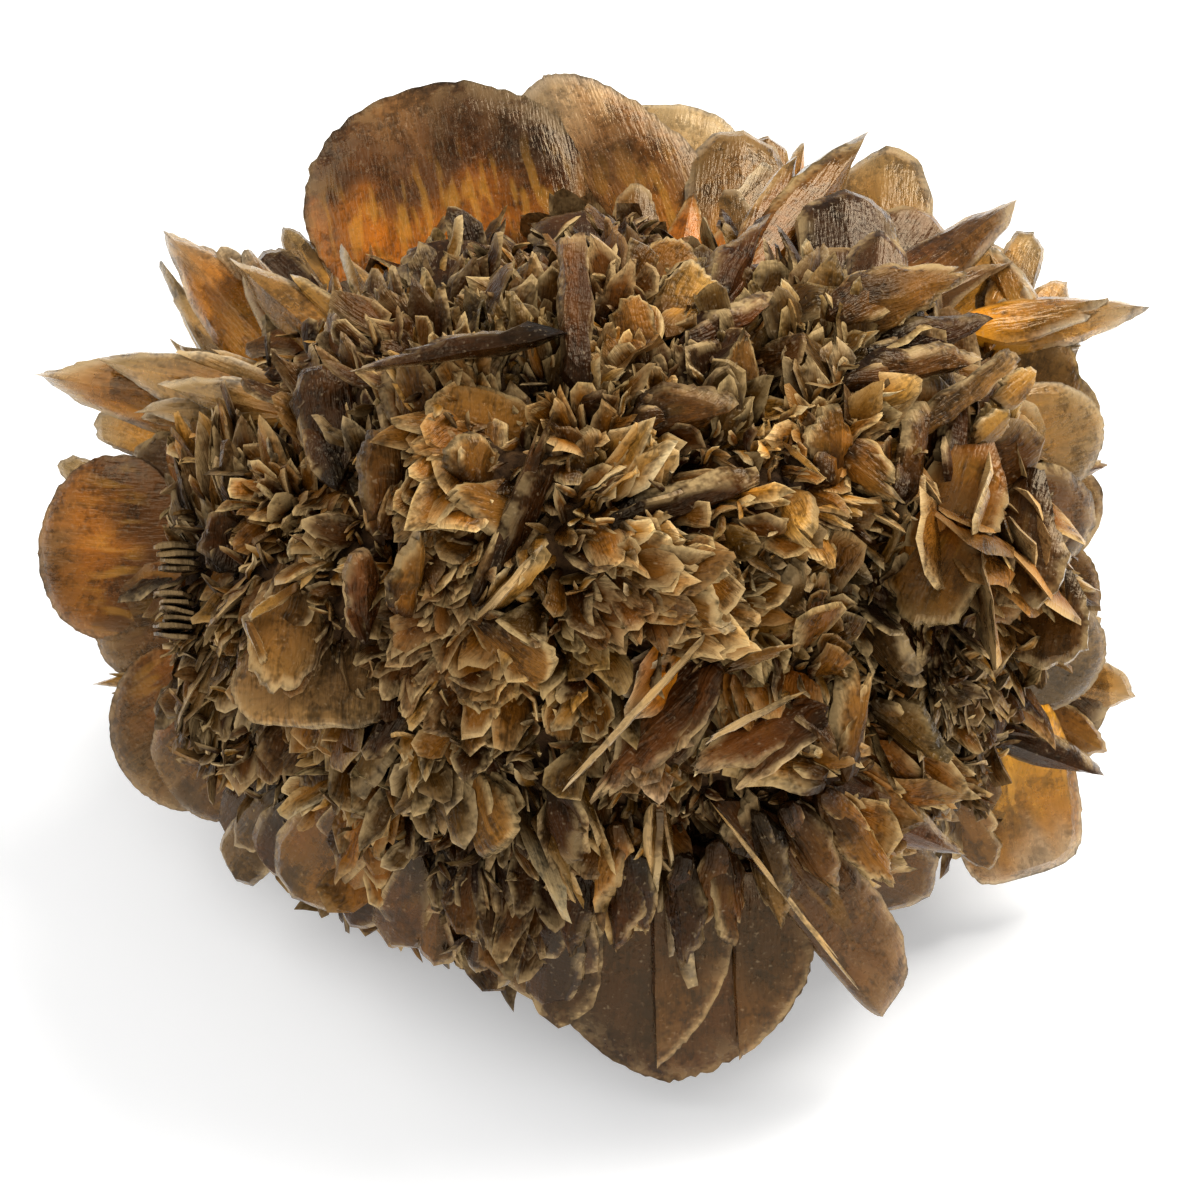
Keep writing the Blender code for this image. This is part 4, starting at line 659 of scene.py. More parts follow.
# The hidden side, as in the CAD source
CAD_SEED = 7
FRONT_ROSETTES = 33
ROSETTE_POINTS = 10
ROSETTE_JITTER = 0.16
ROSETTE_LEAN = 0.3
REAR_STEPS = 84
REAR_LENGTH = (19.0, 26.0)
REAR_WIDTH = (11.0, 19.0)
REAR_THICKNESS = (1.5, 1.9)
REAR_ROSETTE = (8.0, 10.5)
REAR_ROOT = 9.0
REAR_LEAN = 0.45
REAR_EDGE = 0.0
REAR_REACH = (47.0, 43.0)
REAR_CLEARANCE = 6.0
REAR_LOOKS = ("tan", "brown", "amber", "brown", "grey", "honey")
REAR_PETALS = 22            # in one rose
REAR_PETAL_LENGTH = (0.6, 0.85)     # over the rose's radius
REAR_PETAL_WIDTH = (0.45, 0.65)
REAR_PETAL_TURN = 15.0
REAR_CROWD = 0.35           # how far out from the rose's middle its petals start
REAR_RAGGED = 0.03
REAR_FORMS = ("petal", "petal", "disc", "oval")

# The finishes.  Noise scales are per metre on the object and per millimetre along the blades
STAIN_SCALE = 1.6
STAINS = ((0.34, (0.42, 0.40, 0.42)), (0.44, (0.85, 0.85, 0.85)), (0.54, (1.12, 1.05, 0.95)),
          (0.66, (1.28, 1.06, 0.62)))
CLOUD_SCALE = 320.0
GRAIN_SCALE = 1800.0
PATCH_SCALE = 130.0
EARTH_SCALE = 600.0
PAPER_SCALE = 30.0
STREAK_STRETCH = (2.8, 0.42, 1.0)
CELL_STRETCH = (0.85, 0.30, 1.0)
CELL_TURN = (0.0, 0.0, 0.15)
BEAM_STRETCH = (0.8, 0.16, 1.0)
# painted light: GLINT is the golden glint of light through the clear foot of a blade
DUST = (214, 190, 150)
GLINT = (240, 172, 66)
FROST = (192, 162, 112)
FROSTING = 0.8
SPECULAR_TINT = (0.86, 0.66, 0.42, 1.0)
GYPSUM_IOR = 1.52
BLADE_FINISH = {"glass": 0.85, "bump": 0.34, "haze": 0.22, "gloss": 0.32, "streaks": 0.18,
                "glow": 0.7, "mottle": 0.42, "facets": 0.24}
PETAL_FINISH = {"glass": 0.0, "bump": 0.80, "haze": 0.30, "gloss": 0.18, "streaks": 0.26,
                "glow": 0.5, "mottle": 0.45, "facets": 0.34}
CRYSTAL_BUMP = 0.0003       # metres
CORE_BUMP = 0.0006
CORE_BUMP_STRENGTH = 0.6
CORE_DARK = (34, 22, 13)
CORE_LIGHT = (84, 60, 36)

# The studio, in metres: each lamp's direction, distance, size, power and colour
LAMPS = {
    "key": ((0.55, 0.45, 0.85), 0.7, 0.4, 6.5, (1.0, 0.97, 0.92)),
    "left": ((-0.75, 0.15, 0.8), 0.7, 0.5, 2.2, (1.0, 0.98, 0.95)),
    "front": ((0.3, -0.95, 0.35), 0.8, 0.5, 2.8, (1.0, 0.98, 0.96)),
}
LAMP_AIM = (0.0, 0.0, 0.03)
WORLD_STRENGTH = 0.42
FLOOR_HALF = 1.5
FLOOR_GLOW = 0.22
FLOOR_TONES = ((0.90, 0.91, 0.93, 1.0), (0.95, 0.96, 0.97, 1.0))
SENSOR = 36.0

TILT = math.radians(FACE_TILT)
RIGHT = np.array((1.0, 0.0, 0.0))
UP = np.array((0.0, math.sin(TILT), math.cos(TILT)))
OUT = np.array((0.0, -math.cos(TILT), math.sin(TILT)))
GOLDEN = math.pi * (3.0 - math.sqrt(5.0))
HILLS = np.array(RELIEF)
WAVE_RNG = np.random.default_rng(WAVE_SEED)
WAVES = []
for wave_length in WAVE_LENGTHS:
    WAVES.append((WAVE_RNG.normal(size=3) * WAVE_TURNS / wave_length, WAVE_RNG.uniform(0.0, 6.0),
                  WAVE_RNG.normal(size=3)))
COVER_FEET = np.array([row[0][:2] for row in FACE_BLADES])
COVER_RUNS = np.array([row[1][:2] for row in FACE_BLADES]) - COVER_FEET
COVER_WIDTHS = np.array([max(max(left, right) * abs(math.cos(math.radians(turn))),
                             COVER_EDGE * thick)
                         for _, _, left, right, turn, _, thick, _ in FACE_BLADES])
PATCH_MIDDLES = np.array([row[:2] for row in PATCHES])
PIECES = []


def unit(way):
    """Return a direction at length one."""
    return way / np.linalg.norm(way)


def smooth(value):
    """Ease a value from 0 to 1."""
    value = np.clip(value, 0.0, 1.0)
    return value * value * (3.0 - 2.0 * value)


def ease(value, start, length):
    """Ease from 0 to 1 while a value runs over a length from its start."""
    return smooth((value - start) / length)


def linear(colour):
    """Turn a colour as the eye sees it, 0 to 255, into linear light by the sRGB curve."""
    share = np.asarray(colour, dtype=float) / 255.0
    return np.where(share <= 0.04045, share / 12.92, ((share + 0.055) / 1.055) ** 2.4)


def opaque(colour):
    """Return such a colour in linear light with full alpha, as the shader's sockets take it."""
    return (*linear(colour), 1.0)


def face_point(place):
    """Turn a display place (right, up, out) into a world point in millimetres."""
    spread = (VIEW_DISTANCE - place[2]) / VIEW_DISTANCE
    point = RIGHT * place[0] * spread + UP * place[1] * spread + OUT * place[2]
    return point + HEART


def display_place(point):
    """Return how far right, up and out a world point is from the middle, without perspective."""
    place = point - HEART
    return place.dot(RIGHT), place.dot(UP), place.dot(OUT)


def display_way(angle):
    """Return the direction at an angle in the plane of the display face."""
    return RIGHT * math.cos(angle) + UP * math.sin(angle)


def golden_way(step, steps):
    """Return one of a number of directions spread evenly over a ball."""
    height = 1.0 - 2.0 * (step + 0.5) / steps
    ring = math.sqrt(1.0 - height * height)
    return np.array((ring * math.cos(step * GOLDEN), ring * math.sin(step * GOLDEN), height))


def core_slope(point):
    """Return the outward direction of the smooth core at a point on it."""
    return unit((point - CORE_MIDDLE) / CORE_HALF_SIZE ** 2)


def core_point(right, up):
    """Return where the core lies under a display place, and its outward direction.

    A place beside the core is moved inwards until the core is under it.
    """
    for shrink in np.linspace(1.0, 0.0, CORE_TRIES):
        inward = (RIGHT * right + UP * up) * shrink
        start = inward + HEART - CORE_MIDDLE
        step = OUT - inward / VIEW_DISTANCE
        a = np.sum((step / CORE_HALF_SIZE) ** 2)
        b = np.sum(start * step / CORE_HALF_SIZE ** 2)
        c = np.sum((start / CORE_HALF_SIZE) ** 2) - 1.0
        if b * b - a * c > 0.0:
            point = start + step * (math.sqrt(b * b - a * c) - b) / a + CORE_MIDDLE
            return point, core_slope(point)
    return CORE_MIDDLE, OUT


def relief(point):
    """Return how far the display side stands above the lumps at a point, in millimetres."""
    right, up, out = display_place(point)
    if out < 0.0:
        return 0.0
    spread = VIEW_DISTANCE / (VIEW_DISTANCE - out)
    away = np.hypot(right * spread - HILLS[:, 0], up * spread - HILLS[:, 1])
    return float(np.sum(HILLS[:, 3] * np.exp(-(away / HILLS[:, 2]) ** 2)))


def lump(place):
    """Return how far the core bulges at a place measured from its middle."""
    return noise.noise(Vector(place) / LUMP_PITCH) * 2.0 * LUMP


def lumpy(point, normal):
    """Move a point of the smooth core on to its lumps."""
    return point + normal * (lump(point - CORE_MIDDLE) + relief(point))


def cover(right, up):
    """Return how far under the face blades a display place is: 1 in the middle, 0 at an edge."""
    spot = np.array((right, up)) - COVER_FEET
    t = np.clip(np.sum(spot * COVER_RUNS, 1) / np.sum(COVER_RUNS ** 2, 1), *COVER_SPAN)
    off = np.linalg.norm(spot - COVER_RUNS * t[:, None], axis=1)
    return float(np.max(1.0 - off / COVER_WIDTHS))


def warp(points, reach):
    """Bend points by a few smooth waves that run through the whole specimen."""
    shift = np.zeros_like(points)
    for wave, phase, way in WAVES:
        shift += np.outer(np.sin(points @ wave + phase), way)
    return points + shift * reach


def half_width(t, form):
    """Return a blade's half width at t along it, as a share of its greatest half width."""
    rise, fall = FORMS[form]
    widest = rise / (rise + fall)
    top = widest ** rise * (1.0 - widest) ** fall
    return np.clip(t, 0.0, 1.0) ** rise * np.clip(1.0 - t, 0.0, 1.0) ** fall / top


def add_object(name, data):
    """Put new data into the scene as an object."""
    made = bpy.data.objects.new(name, data)
    bpy.context.scene.collection.objects.link(made)
    return made


class Heap:
    """Crystals gathered into closed meshes."""

    def __init__(self, name, bend):
        self.name = name
        self.bend = bend
        self.parts = 0
        self.start()

    def start(self):
        """Start the next piece."""
        self.crystals = []
        self.count = 0
        self.triangles = 0

    def add(self, points, faces, *surface):
        """Take in one closed crystal, in millimetres: its tints, clears, frosts and places last."""
        if self.triangles + len(faces) > MAX_TRIANGLES:
            self.build()
        self.crystals.append((warp(points, self.bend), faces + self.count, *surface))
        self.count += len(points)
        self.triangles += len(faces)

    def build(self):
        """Turn what is gathered into one piece of the scene."""
        if not self.count:
            return
        points, faces, tints, clears, frosts, places = map(np.concatenate, zip(*self.crystals))
        points[:, 2] = np.maximum(points[:, 2], 0.0)
        self.parts += 1
        mesh = bpy.data.meshes.new(f"{self.name}_{self.parts}")
        mesh.vertices.add(len(points))
        mesh.vertices.foreach_set("co", (points * MM).astype(np.float32).ravel())
        mesh.loops.add(faces.size)
        mesh.loops.foreach_set("vertex_index", faces.astype(np.int32).ravel())
        mesh.polygons.add(len(faces))
        mesh.polygons.foreach_set("loop_start", np.arange(0, faces.size, 3, dtype=np.int32))
        mesh.update(calc_edges=True)
        mesh.polygons.foreach_set("use_smooth", np.ones(len(faces), dtype=bool))
        mesh.set_sharp_from_angle(angle=math.radians(SHARP_ANGLE))
        for name, kind, field, values in (("Tint", "FLOAT_COLOR", "color", tints),
                                          ("Clear", "FLOAT", "value", clears),
                                          ("Frost", "FLOAT", "value", frosts)):
            layer = mesh.attributes.new(name, kind, "POINT")
            layer.data.foreach_set(field, values.astype(np.float32).ravel())
        blade = mesh.uv_layers.new(name="Blade")
        blade.data.foreach_set("uv", places[faces.ravel()].astype(np.float32).ravel())
        PIECES.append(add_object(mesh.name, mesh))
        self.start()


@functools.cache
def crystal_faces(detail):
    """Return the triangles of a crystal: front, wall and back rings round two middles."""
    sides = detail.sides
    near = np.arange(sides)
    far = (near + 1) % sides
    faces = [np.stack((np.zeros(sides, int), 1 + near, 1 + far), 1)]
    for ring in range(len(detail.fronts) - 1):
        inner, outer = 1 + ring * sides, 1 + (ring + 1) * sides
        faces.append(np.stack((inner + near, outer + near, outer + far), 1))
        faces.append(np.stack((inner + near, outer + far, inner + far), 1))
    last = 1 + (len(detail.fronts) - 1) * sides
    middle = 1 + len(detail.fronts) * sides
    for ring in reversed(range(len(detail.backs))):
        inner = middle + 1 + ring * sides
        faces.append(np.stack((last + near, inner + near, inner + far), 1))
        faces.append(np.stack((last + near, inner + far, last + far), 1))
        last = inner
    faces.append(np.stack((np.full(sides, middle), last + far, last + near), 1))
    return np.concatenate(faces)


def straight_edges(rng, rim, middle, corners, broken):
    """Replace a smooth outline by straight edges between uneven corners on it, one at the tip."""
    sides = len(rim)
    tip = sides // 4
    jitter = rng.uniform(-CORNER_JITTER, CORNER_JITTER, corners)
    picks = ((np.arange(corners) + jitter) * (sides / corners)).round()
    picks = np.unique(np.append(picks.astype(int) % sides, tip))
    cuts = 1.0 - np.abs(rng.normal(size=len(picks))) * broken
    posts = middle + (rim[picks] - middle) * cuts[:, None]
    ends = np.append(picks, picks[0] + sides)
    where = (np.arange(sides) - picks[0]) % sides + picks[0]
    cut = np.array([np.interp(where, ends, np.append(posts[:, k], posts[0, k]))
                    for k in range(2)]).T
    return cut * STRAIGHT + rim * ROUND


def crystal_shape(rng, length, left, right, form, thick, detail, ragged, bend, cup):
    """Return a blade's points, its place from base to tip and its share of the way to the rim."""
    sides = detail.sides
    angle = np.arange(sides) / sides * math.tau
    t = 0.5 + 0.5 * np.sin(angle)
    side = np.where(np.abs(np.cos(angle)) < 1e-6, 0.0, np.sign(np.cos(angle)))
    plain = np.stack((side * np.where(side > 0.0, right, left) * half_width(t, form),
                      t * length), 1)
    middle = np.array((0.0, length * FORMS[form][0] / sum(FORMS[form])))
    plain = straight_edges(rng, plain, middle, detail.corners,
                           BROKEN * ragged if ragged > SOUND else SOUND_BREAK)
    fine = rng.normal(size=sides)
    slow = sum(np.sin(angle * k + rng.uniform(0, math.tau)) / k for k in SLOW_WAVES)
    wobble = 1.0 + ease(t, *RAGGED_SPAN) * ragged * (FINE_WOBBLE * fine + SLOW_WOBBLE * slow)
    rim = middle + (plain - middle) * wobble[:, None]
    points = [np.array((middle[0], middle[1], thick / 2))[None]]
    shares = [np.zeros(1)]
    growth = GROWTH * slow
    uneven = 0.0 if detail.backs else UNEVEN * thick
    for s in detail.fronts:
        inner = s + (growth if s < GROWTH_EDGE else 0.0)
        rough = 1.0 + (wobble - 1.0) * s ** 4
        flat = middle + (plain - middle) * (inner * rough)[:, None]
        high = thick / 2 * (1.0 - DOME * s * s - BEVEL * ease(s, *BEVEL_SPAN))
        if not detail.backs and s == 1.0:
            high = 0.0
        lift = high + rng.normal(size=sides) * uneven * (s < 1.0)
        points.append(np.column_stack((flat, lift)))
        shares.append(np.full(sides, s))
    points.append(np.array((middle[0], middle[1], -thick / 2))[None])
    shares.append(np.zeros(1))
    for s in detail.backs:
        flat = middle + (rim - middle) * s
        low = -thick / 2 * (1.0 - BACK_FALL * s ** BACK_POWER)
        points.append(np.column_stack((flat, np.full(sides, low))))
        shares.append(np.full(sides, s))
    points = np.concatenate(points)
    along = np.clip(points[:, 1] / length, 0.0, 1.0)
    reach = np.maximum(half_width(along, form), LEAST_REACH)
    reach = np.where(points[:, 0] > 0.0, right, left) * reach
    crest = 1.0 - np.clip(np.abs(points[:, 0]) / reach, 0.0, 1.0)
    points[:, 2] += np.where(points[:, 2] > 0.0, crest, 0.0) * RIDGES.get(form, 0.0) * thick
    points[:, 2] += bend * length * (along - BEND_FROM) ** 2
    points[:, 2] += cup * points[:, 0] ** 2 / max(left, right)
    return points, along, np.concatenate(shares)


def crystal_tints(rng, look, along, across, shares, pale, shade, detail):
    """Colour a blade from its root to its tip and rim."""
    root, middle, tip, rim = (linear(colour) for colour in LOOKS[look][:4])
    swing = rng.uniform(0.0, math.tau, len(SWAYS))
    sway = sum(strength * np.sin(across * cross + along * run + phase)
               for (strength, cross, run), phase in zip(SWAYS, swing)) * SWAY
    t = np.clip((along + sway - detail.foot) / (1.0 - detail.foot), 0.0, 1.0)[:, None]
    tint = root + (middle - root) * ease(t, 0.0, 0.5)
    tint = (tint + (tip - tint) * ease(t, 0.5, 0.5)) * WARMTH ** detail.stained
    # Painted shade: one half of the blade darker than the other
    tint = tint * (1.0 + rng.uniform(-1.0, 1.0) * FACE_SHADE * np.sign(across))[:, None]
    # Pale rim: partly frost, partly a painted highlight along the edge
    edge = ease(shares[:, None], detail.edge, 1.0 - detail.edge)
    tint = tint + (rim - tint) * edge * ease(t, *RIM_SPAN) * pale
    # Painted shade: a small crystal darkens towards its root
    if detail is SMALL:
        tint = tint * (1.0 - ROOT_SHADE + ROOT_SHADE * ease(t, *ROOT_SHADE_SPAN))
    if detail in (GREAT, LARGE):
        tint = tint * (1.0 - OUTLINE * ease(shares, *OUTLINE_SPAN)[:, None])
    speckle = 1.0 + SPECKLE * rng.normal(size=(len(along), 1))
    return np.clip(tint * shade * speckle, 0.0, 1.0)


def add_crystal(heap, rng, base, tip, left, right, turn, form, thick, look, detail,
                facing=OUT, ragged=SOUND, bend=0.0, cup=0.0, pale=0.8, shade=1.0):
    """Add one blade that runs from base to tip, both world points in millimetres."""
    length = np.linalg.norm(tip - base)
    along = unit(tip - base)
    normal = facing - along * facing.dot(along)
    if np.linalg.norm(normal) < LEAST_FACING:
        normal = np.array((0.0, 1.0, 0.0)) - along * along[1]
    normal = unit(normal)
    angle = math.radians(turn)
    normal = normal * math.cos(angle) + np.cross(along, normal) * math.sin(angle)
    axes = np.stack((np.cross(along, normal), along, normal))
    flat, run, shares = crystal_shape(rng, length, left, right, form, thick, detail, ragged,
                                      bend, cup)
    tints = crystal_tints(rng, look, run, flat[:, 0], shares, pale, shade, detail)
    clear = LOOKS[look][4] * (FOOT_CLEAR + TIP_CLEAR * ease(run, *CLEAR_SPAN))
    clear = clear * (1.0 - RIM_DULL * ease(shares, *BEVEL_SPAN))
    # Painted glow: strongest at the foot, for the finish's golden glint
    glow = 1.0 - ease(run, detail.foot, GLOW_LENGTH)
    places = flat[:, :2] + rng.uniform(0.0, PLACE_RANGE, 2)
    frost = ease(shares, *FROST_EDGE) * ease(run, *FROST_SPAN) * pale
    frost = frost * (GREAT_FROST if detail is GREAT else 1.0)
    heap.add(flat @ axes + base, crystal_faces(detail), np.column_stack((tints, glow)), clear,
             frost, places)


def add_rows(heap, rng, rows, root=0.0, lift=0.0, ragged=0.03, pales=(0.6, 0.95)):
    """Add the blades of one listed group."""
    for base, tip, left, right, turn, form, thick, look in rows:
        foot = face_point((base[0], base[1], base[2] - root))
        end = face_point((tip[0], tip[1], tip[2] + lift))
        great = max(left, right) > GREAT_WIDTH
        rough = ragged * min(1.0, RAGGED_WIDTH / max(left, right))
        add_crystal(heap, rng, foot, end, left, right, turn, form, thick, look,
                    GREAT if great else LARGE, ragged=GREAT_RAGGED if great else rough,
                    bend=rng.uniform(*ROW_BEND), pale=rng.uniform(*pales),
                    shade=rng.uniform(*ROW_SHADE))


def add_echoes(heap, rng, rows):
    """Add thin plates that have grown on the blades of one listed group, at their feet."""
    for base, tip, left, right, turn, form, thick, look in rows:
        if form == "block" or max(left, right) > ECHO_WIDTH:
            continue
        foot = np.array(base, dtype=float)
        reach = np.array(tip, dtype=float) - foot
        for index in range(ECHOES):
            size = rng.uniform(*ECHO_SIZE)
            swing = rng.uniform(-ECHO_SWING, ECHO_SWING)
            start = foot + (0.0, 0.0, (index - ECHO_START) * thick * ECHO_THICKNESS)
            turned = np.array((reach[0] * math.cos(swing) - reach[1] * math.sin(swing),
                               reach[0] * math.sin(swing) + reach[1] * math.cos(swing),
                               reach[2]))
            add_crystal(heap, rng, face_point(start), face_point(start + turned * size),
                        left * size, right * size, turn + rng.uniform(-ECHO_TURN, ECHO_TURN),
                        form, thick * ECHO_THICKNESS, look, MEDIUM, ragged=ECHO_RAGGED,
                        bend=rng.uniform(*PLATE_BEND), pale=rng.uniform(*ECHO_PALE),
                        shade=rng.uniform(*ECHO_SHADE))


def add_petal(heap, rng, point, normal, heading, tilt, turn, length, width, form, look,
              shade=1.0):
    """Add one small crystal whose foot is in the core at a point."""
    lean = math.radians(tilt)
    flat = heading - normal * heading.dot(normal)
    flat = flat / max(np.linalg.norm(flat), 1e-6)
    right, up, out = display_place(point)
    if out > 0.0:
        spread = VIEW_DISTANCE / (VIEW_DISTANCE - out)
        point = point - normal * SINK * smooth(cover(right * spread, up * spread) * SINK_SLOPE)
        # Painted shade over the zones of the display side that lie in shade
        for zone_right, zone_up, reach, depth in PAINTED_SHADE_ZONES:
            away = math.hypot(right - zone_right, up - zone_up) / reach
            shade *= 1.0 - depth * math.exp(-away * away)
    aim = flat * math.cos(lean) + normal * math.sin(lean)
    facing = normal * math.cos(lean) - flat * math.sin(lean)
    base = point - aim * PETAL_ROOT
    tip = point + aim * length
    if tip[2] < PETAL_FLOOR:
        return
    half = width / 2
    form = str(rng.choice(PETAL_FORMS[form]))
    thick = PETAL_THICKNESS * (0.6 + 0.1 * length)
    # Painted shade: darker in the hollows of the display side, lighter on its mounds
    hill = float(np.clip(1.0 + HILL_SHADE * relief(point), *HILL_LIMITS))
    add_crystal(heap, rng, base, tip, half * rng.uniform(*PETAL_HALVES),
                half * rng.uniform(*PETAL_HALVES), turn, form, thick, look, SMALL, facing=facing,
                ragged=PETAL_RAGGED,
                bend=rng.uniform(*PETAL_CURVE), cup=rng.uniform(*PETAL_CURVE),
                pale=rng.uniform(*PETAL_PALE), shade=shade * rng.uniform(*PETAL_SHADE) * hill)


def rose_lean(reach):
    """Return the tilt of a rose's petal that stands at a share of the way to its edge."""
    return ROSE_LEAN[0] - ROSE_LEAN[1] * reach


def add_patch(heap, rng, row):
    """Add one listed patch of small crystals."""
    right, up, wide, high, heading, spread, tilt, turn, count, length, width, form, look = row
    count = round(count * PATCH_DENSITY)
    for index in range(count):
        reach = math.sqrt((index + 0.5) / count)
        angle = index * GOLDEN + rng.uniform(-PATCH_STRAY, PATCH_STRAY)
        point, normal = core_point(right + wide * reach * math.cos(angle),
                                   up + high * reach * math.sin(angle))
        point = lumpy(point, normal) + normal * PATCH_DOME * (0.5 - reach * reach)
        size = float(np.clip(rng.lognormal(*PATCH_SIZES), *PATCH_LIMITS)) * PATCH_SIZE
        if spread == ROSE:
            way = angle + rng.uniform(-ROSE_STRAY, ROSE_STRAY)
            lean = rose_lean(reach) + rng.uniform(-ROSE_TILT, ROSE_TILT)
            roll = rng.uniform(-ROSE_TURN, ROSE_TURN)
        else:
            way = math.radians(heading + rng.uniform(-spread, spread))
            lean = tilt + rng.uniform(*FLAT_TILT)
            roll = rng.choice((-1.0, 1.0)) * turn + rng.uniform(-FLAT_TURN, FLAT_TURN)
        # Painted shade: a patch is lighter in its middle than at its edge
        add_petal(heap, rng, point, normal, display_way(way), lean, roll, length * size,
                  width * size * rng.uniform(*PATCH_WIDTH), form, look,
                  1.0 + PATCH_SHADE * (0.6 - reach * reach))


def add_ground(heap, rng):
    """Cover the whole core with small crystals that follow the patch beside them."""
    for step in range(GROUND_STEPS):
        point = CORE_MIDDLE + CORE_HALF_SIZE * golden_way(step, GROUND_STEPS)
        if point[2] < GROUND_FLOOR:
            continue
        normal = core_slope(point)
        point = lumpy(point, normal)
        front = normal.dot(OUT)
        rear = front <= REAR_GROUND
        if rear and step % 2:
            continue
        right, up, _ = display_place(point)
        nearest = np.argmin(np.sum((PATCH_MIDDLES - (right, up)) ** 2, 1))
        _, _, _, _, heading, spread, *_, patch_look = PATCHES[nearest]
        if front > 0.0 and spread != ROSE:
            way = math.radians(heading + rng.uniform(-GROUND_TURN, GROUND_TURN))
        else:
            way = rng.uniform(0.0, math.tau)
        # Painted shade: darker looks low down and on the sides turned from the viewer
        looks = LOW_LOOKS if up < LOW_GROUND or front < LOW_FRONT else HIGH_LOOKS
        look = patch_look if rng.random() < PATCH_LOOKS else str(rng.choice(looks))
        if look in PALE_LOOKS:
            look = "tan"
        length = GROUND_LENGTH * rng.lognormal(0.0, GROUND_SPREAD)
        length = float(np.clip(length * (REAR_GROUND_SCALE if rear else 1.0), *GROUND_LIMITS))
        add_petal(heap, rng, point, normal, display_way(way), rng.uniform(*GROUND_TILT),
                  rng.uniform(-GROUND_TURN, GROUND_TURN), length, length * GROUND_WIDTH,
                  str(rng.choice(GROUND_FORMS)), look, GROUND_SHADE)


def add_chips(heap, rng):
    """Scatter tiny sharp crystals over the display side."""
    for step in range(CHIP_COUNT):
        reach = math.sqrt((step + 0.5) / CHIP_COUNT)
        angle = step * GOLDEN
        right = CHIP_REACH[0] * reach * math.cos(angle) + rng.uniform(-CHIP_JITTER, CHIP_JITTER)
        up = CHIP_REACH[1] * reach * math.sin(angle) + rng.uniform(-CHIP_JITTER, CHIP_JITTER)
        point, normal = core_point(right, up)
        point = lumpy(point, normal) + normal * rng.uniform(*CHIP_RISE)
        way = rng.uniform(0.0, math.tau)
        length = rng.uniform(*CHIP_LENGTH)
        add_petal(heap, rng, point, normal, display_way(way), rng.uniform(*CHIP_TILT),
                  rng.uniform(-CHIP_TURN, CHIP_TURN), length, length * rng.uniform(*CHIP_WIDTH),
                  "leaf", str(rng.choice(CHIP_LOOKS)))


def add_block(heap, rng):
    """Add the stack of thin plates at the left."""
    for up in BLOCK_HEIGHTS:
        middle = face_point((BLOCK_MIDDLE[0], up, BLOCK_MIDDLE[2]))
        shift = rng.uniform(-BLOCK_SHIFT, BLOCK_SHIFT)
        base = middle - OUT * BLOCK_HALF_DEPTH + RIGHT * shift
        tip = middle + OUT * (BLOCK_HALF_DEPTH + rng.uniform(*BLOCK_REACH)) + RIGHT * shift
        wide = BLOCK_HALF_WIDTH * rng.uniform(*BLOCK_WIDTH)
        add_crystal(heap, rng, base, tip, wide, wide, rng.uniform(-BLOCK_TURN, BLOCK_TURN),
                    "block", BLOCK_THICKNESS, "slate", MEDIUM, facing=UP, ragged=BLOCK_RAGGED,
                    pale=BLOCK_PALE, shade=rng.uniform(*BLOCK_SHADE))


def in_display_view(point):
    """Tell whether a world point lies well inside the outline seen from the display side."""
    right, up, _ = display_place(point)
    return (right / REAR_REACH[0]) ** 2 + (up / REAR_REACH[1]) ** 2 < 1.0


def draw_way(source, way, lean):
    """Draw a direction that leans away from a given one."""
    return unit(way + np.array([source.uniform(-lean, lean) for _ in range(3)]))


def draw_rosette(source, normal):
    """Draw a CAD rosette's aim, and pass over the draws that the CAD source takes for its points."""
    aim = draw_way(source, normal, ROSETTE_LEAN)
    source.uniform(0.0, math.tau)
    for _ in range(ROSETTE_POINTS):
        source.uniform(-ROSETTE_JITTER, ROSETTE_JITTER)
    return aim


def add_rear_rose(heap, rng, middle, aim, radius, look):
    """Add one large opened rose of petals."""
    side = unit(np.cross(aim, UP))
    other = np.cross(aim, side)
    for index in range(REAR_PETALS):
        reach = math.sqrt((index + 0.5) / REAR_PETALS)
        angle = index * GOLDEN
        heading = side * math.cos(angle) + other * math.sin(angle)
        foot = middle + heading * reach * radius * REAR_CROWD
        add_petal(heap, rng, foot, aim, heading, rose_lean(reach),
                  rng.uniform(-REAR_PETAL_TURN, REAR_PETAL_TURN),
                  radius * rng.uniform(*REAR_PETAL_LENGTH),
                  radius * rng.uniform(*REAR_PETAL_WIDTH), "petal", look)


def add_rear(blades, petals, rng):
    """Cover the side that faces away with the CAD source's blades and rosettes."""
    source = random.Random(CAD_SEED)
    for _ in range(FRONT_ROSETTES):
        draw_rosette(source, OUT)
    for step in range(REAR_STEPS):
        away = golden_way(step, REAR_STEPS)
        surface = CORE_MIDDLE + CORE_HALF_SIZE * away
        if away.dot(OUT) > REAR_EDGE or surface[2] < REAR_CLEARANCE:
            continue
        look = REAR_LOOKS[step % len(REAR_LOOKS)]
        if step % 2:
            radius = source.uniform(*REAR_ROSETTE)
            add_rear_rose(petals, rng, surface, draw_rosette(source, away), radius, look)
            continue
        aim = draw_way(source, away, REAR_LEAN)
        length = source.uniform(*REAR_LENGTH)
        half = source.uniform(*REAR_WIDTH) / 2
        thick = source.uniform(*REAR_THICKNESS)
        form = source.choice(REAR_FORMS)
        base = surface - aim * REAR_ROOT
        tip = base + aim * length
        while not in_display_view(tip) and length > REAR_ROOT:
            length -= 1.0
            tip = base + aim * length
        if tip[2] < REAR_CLEARANCE:
            continue
        add_crystal(blades, rng, base, tip, half, half, source.uniform(-90.0, 90.0), form, thick,
                    look, LARGE, ragged=REAR_RAGGED, bend=rng.uniform(*PLATE_BEND))


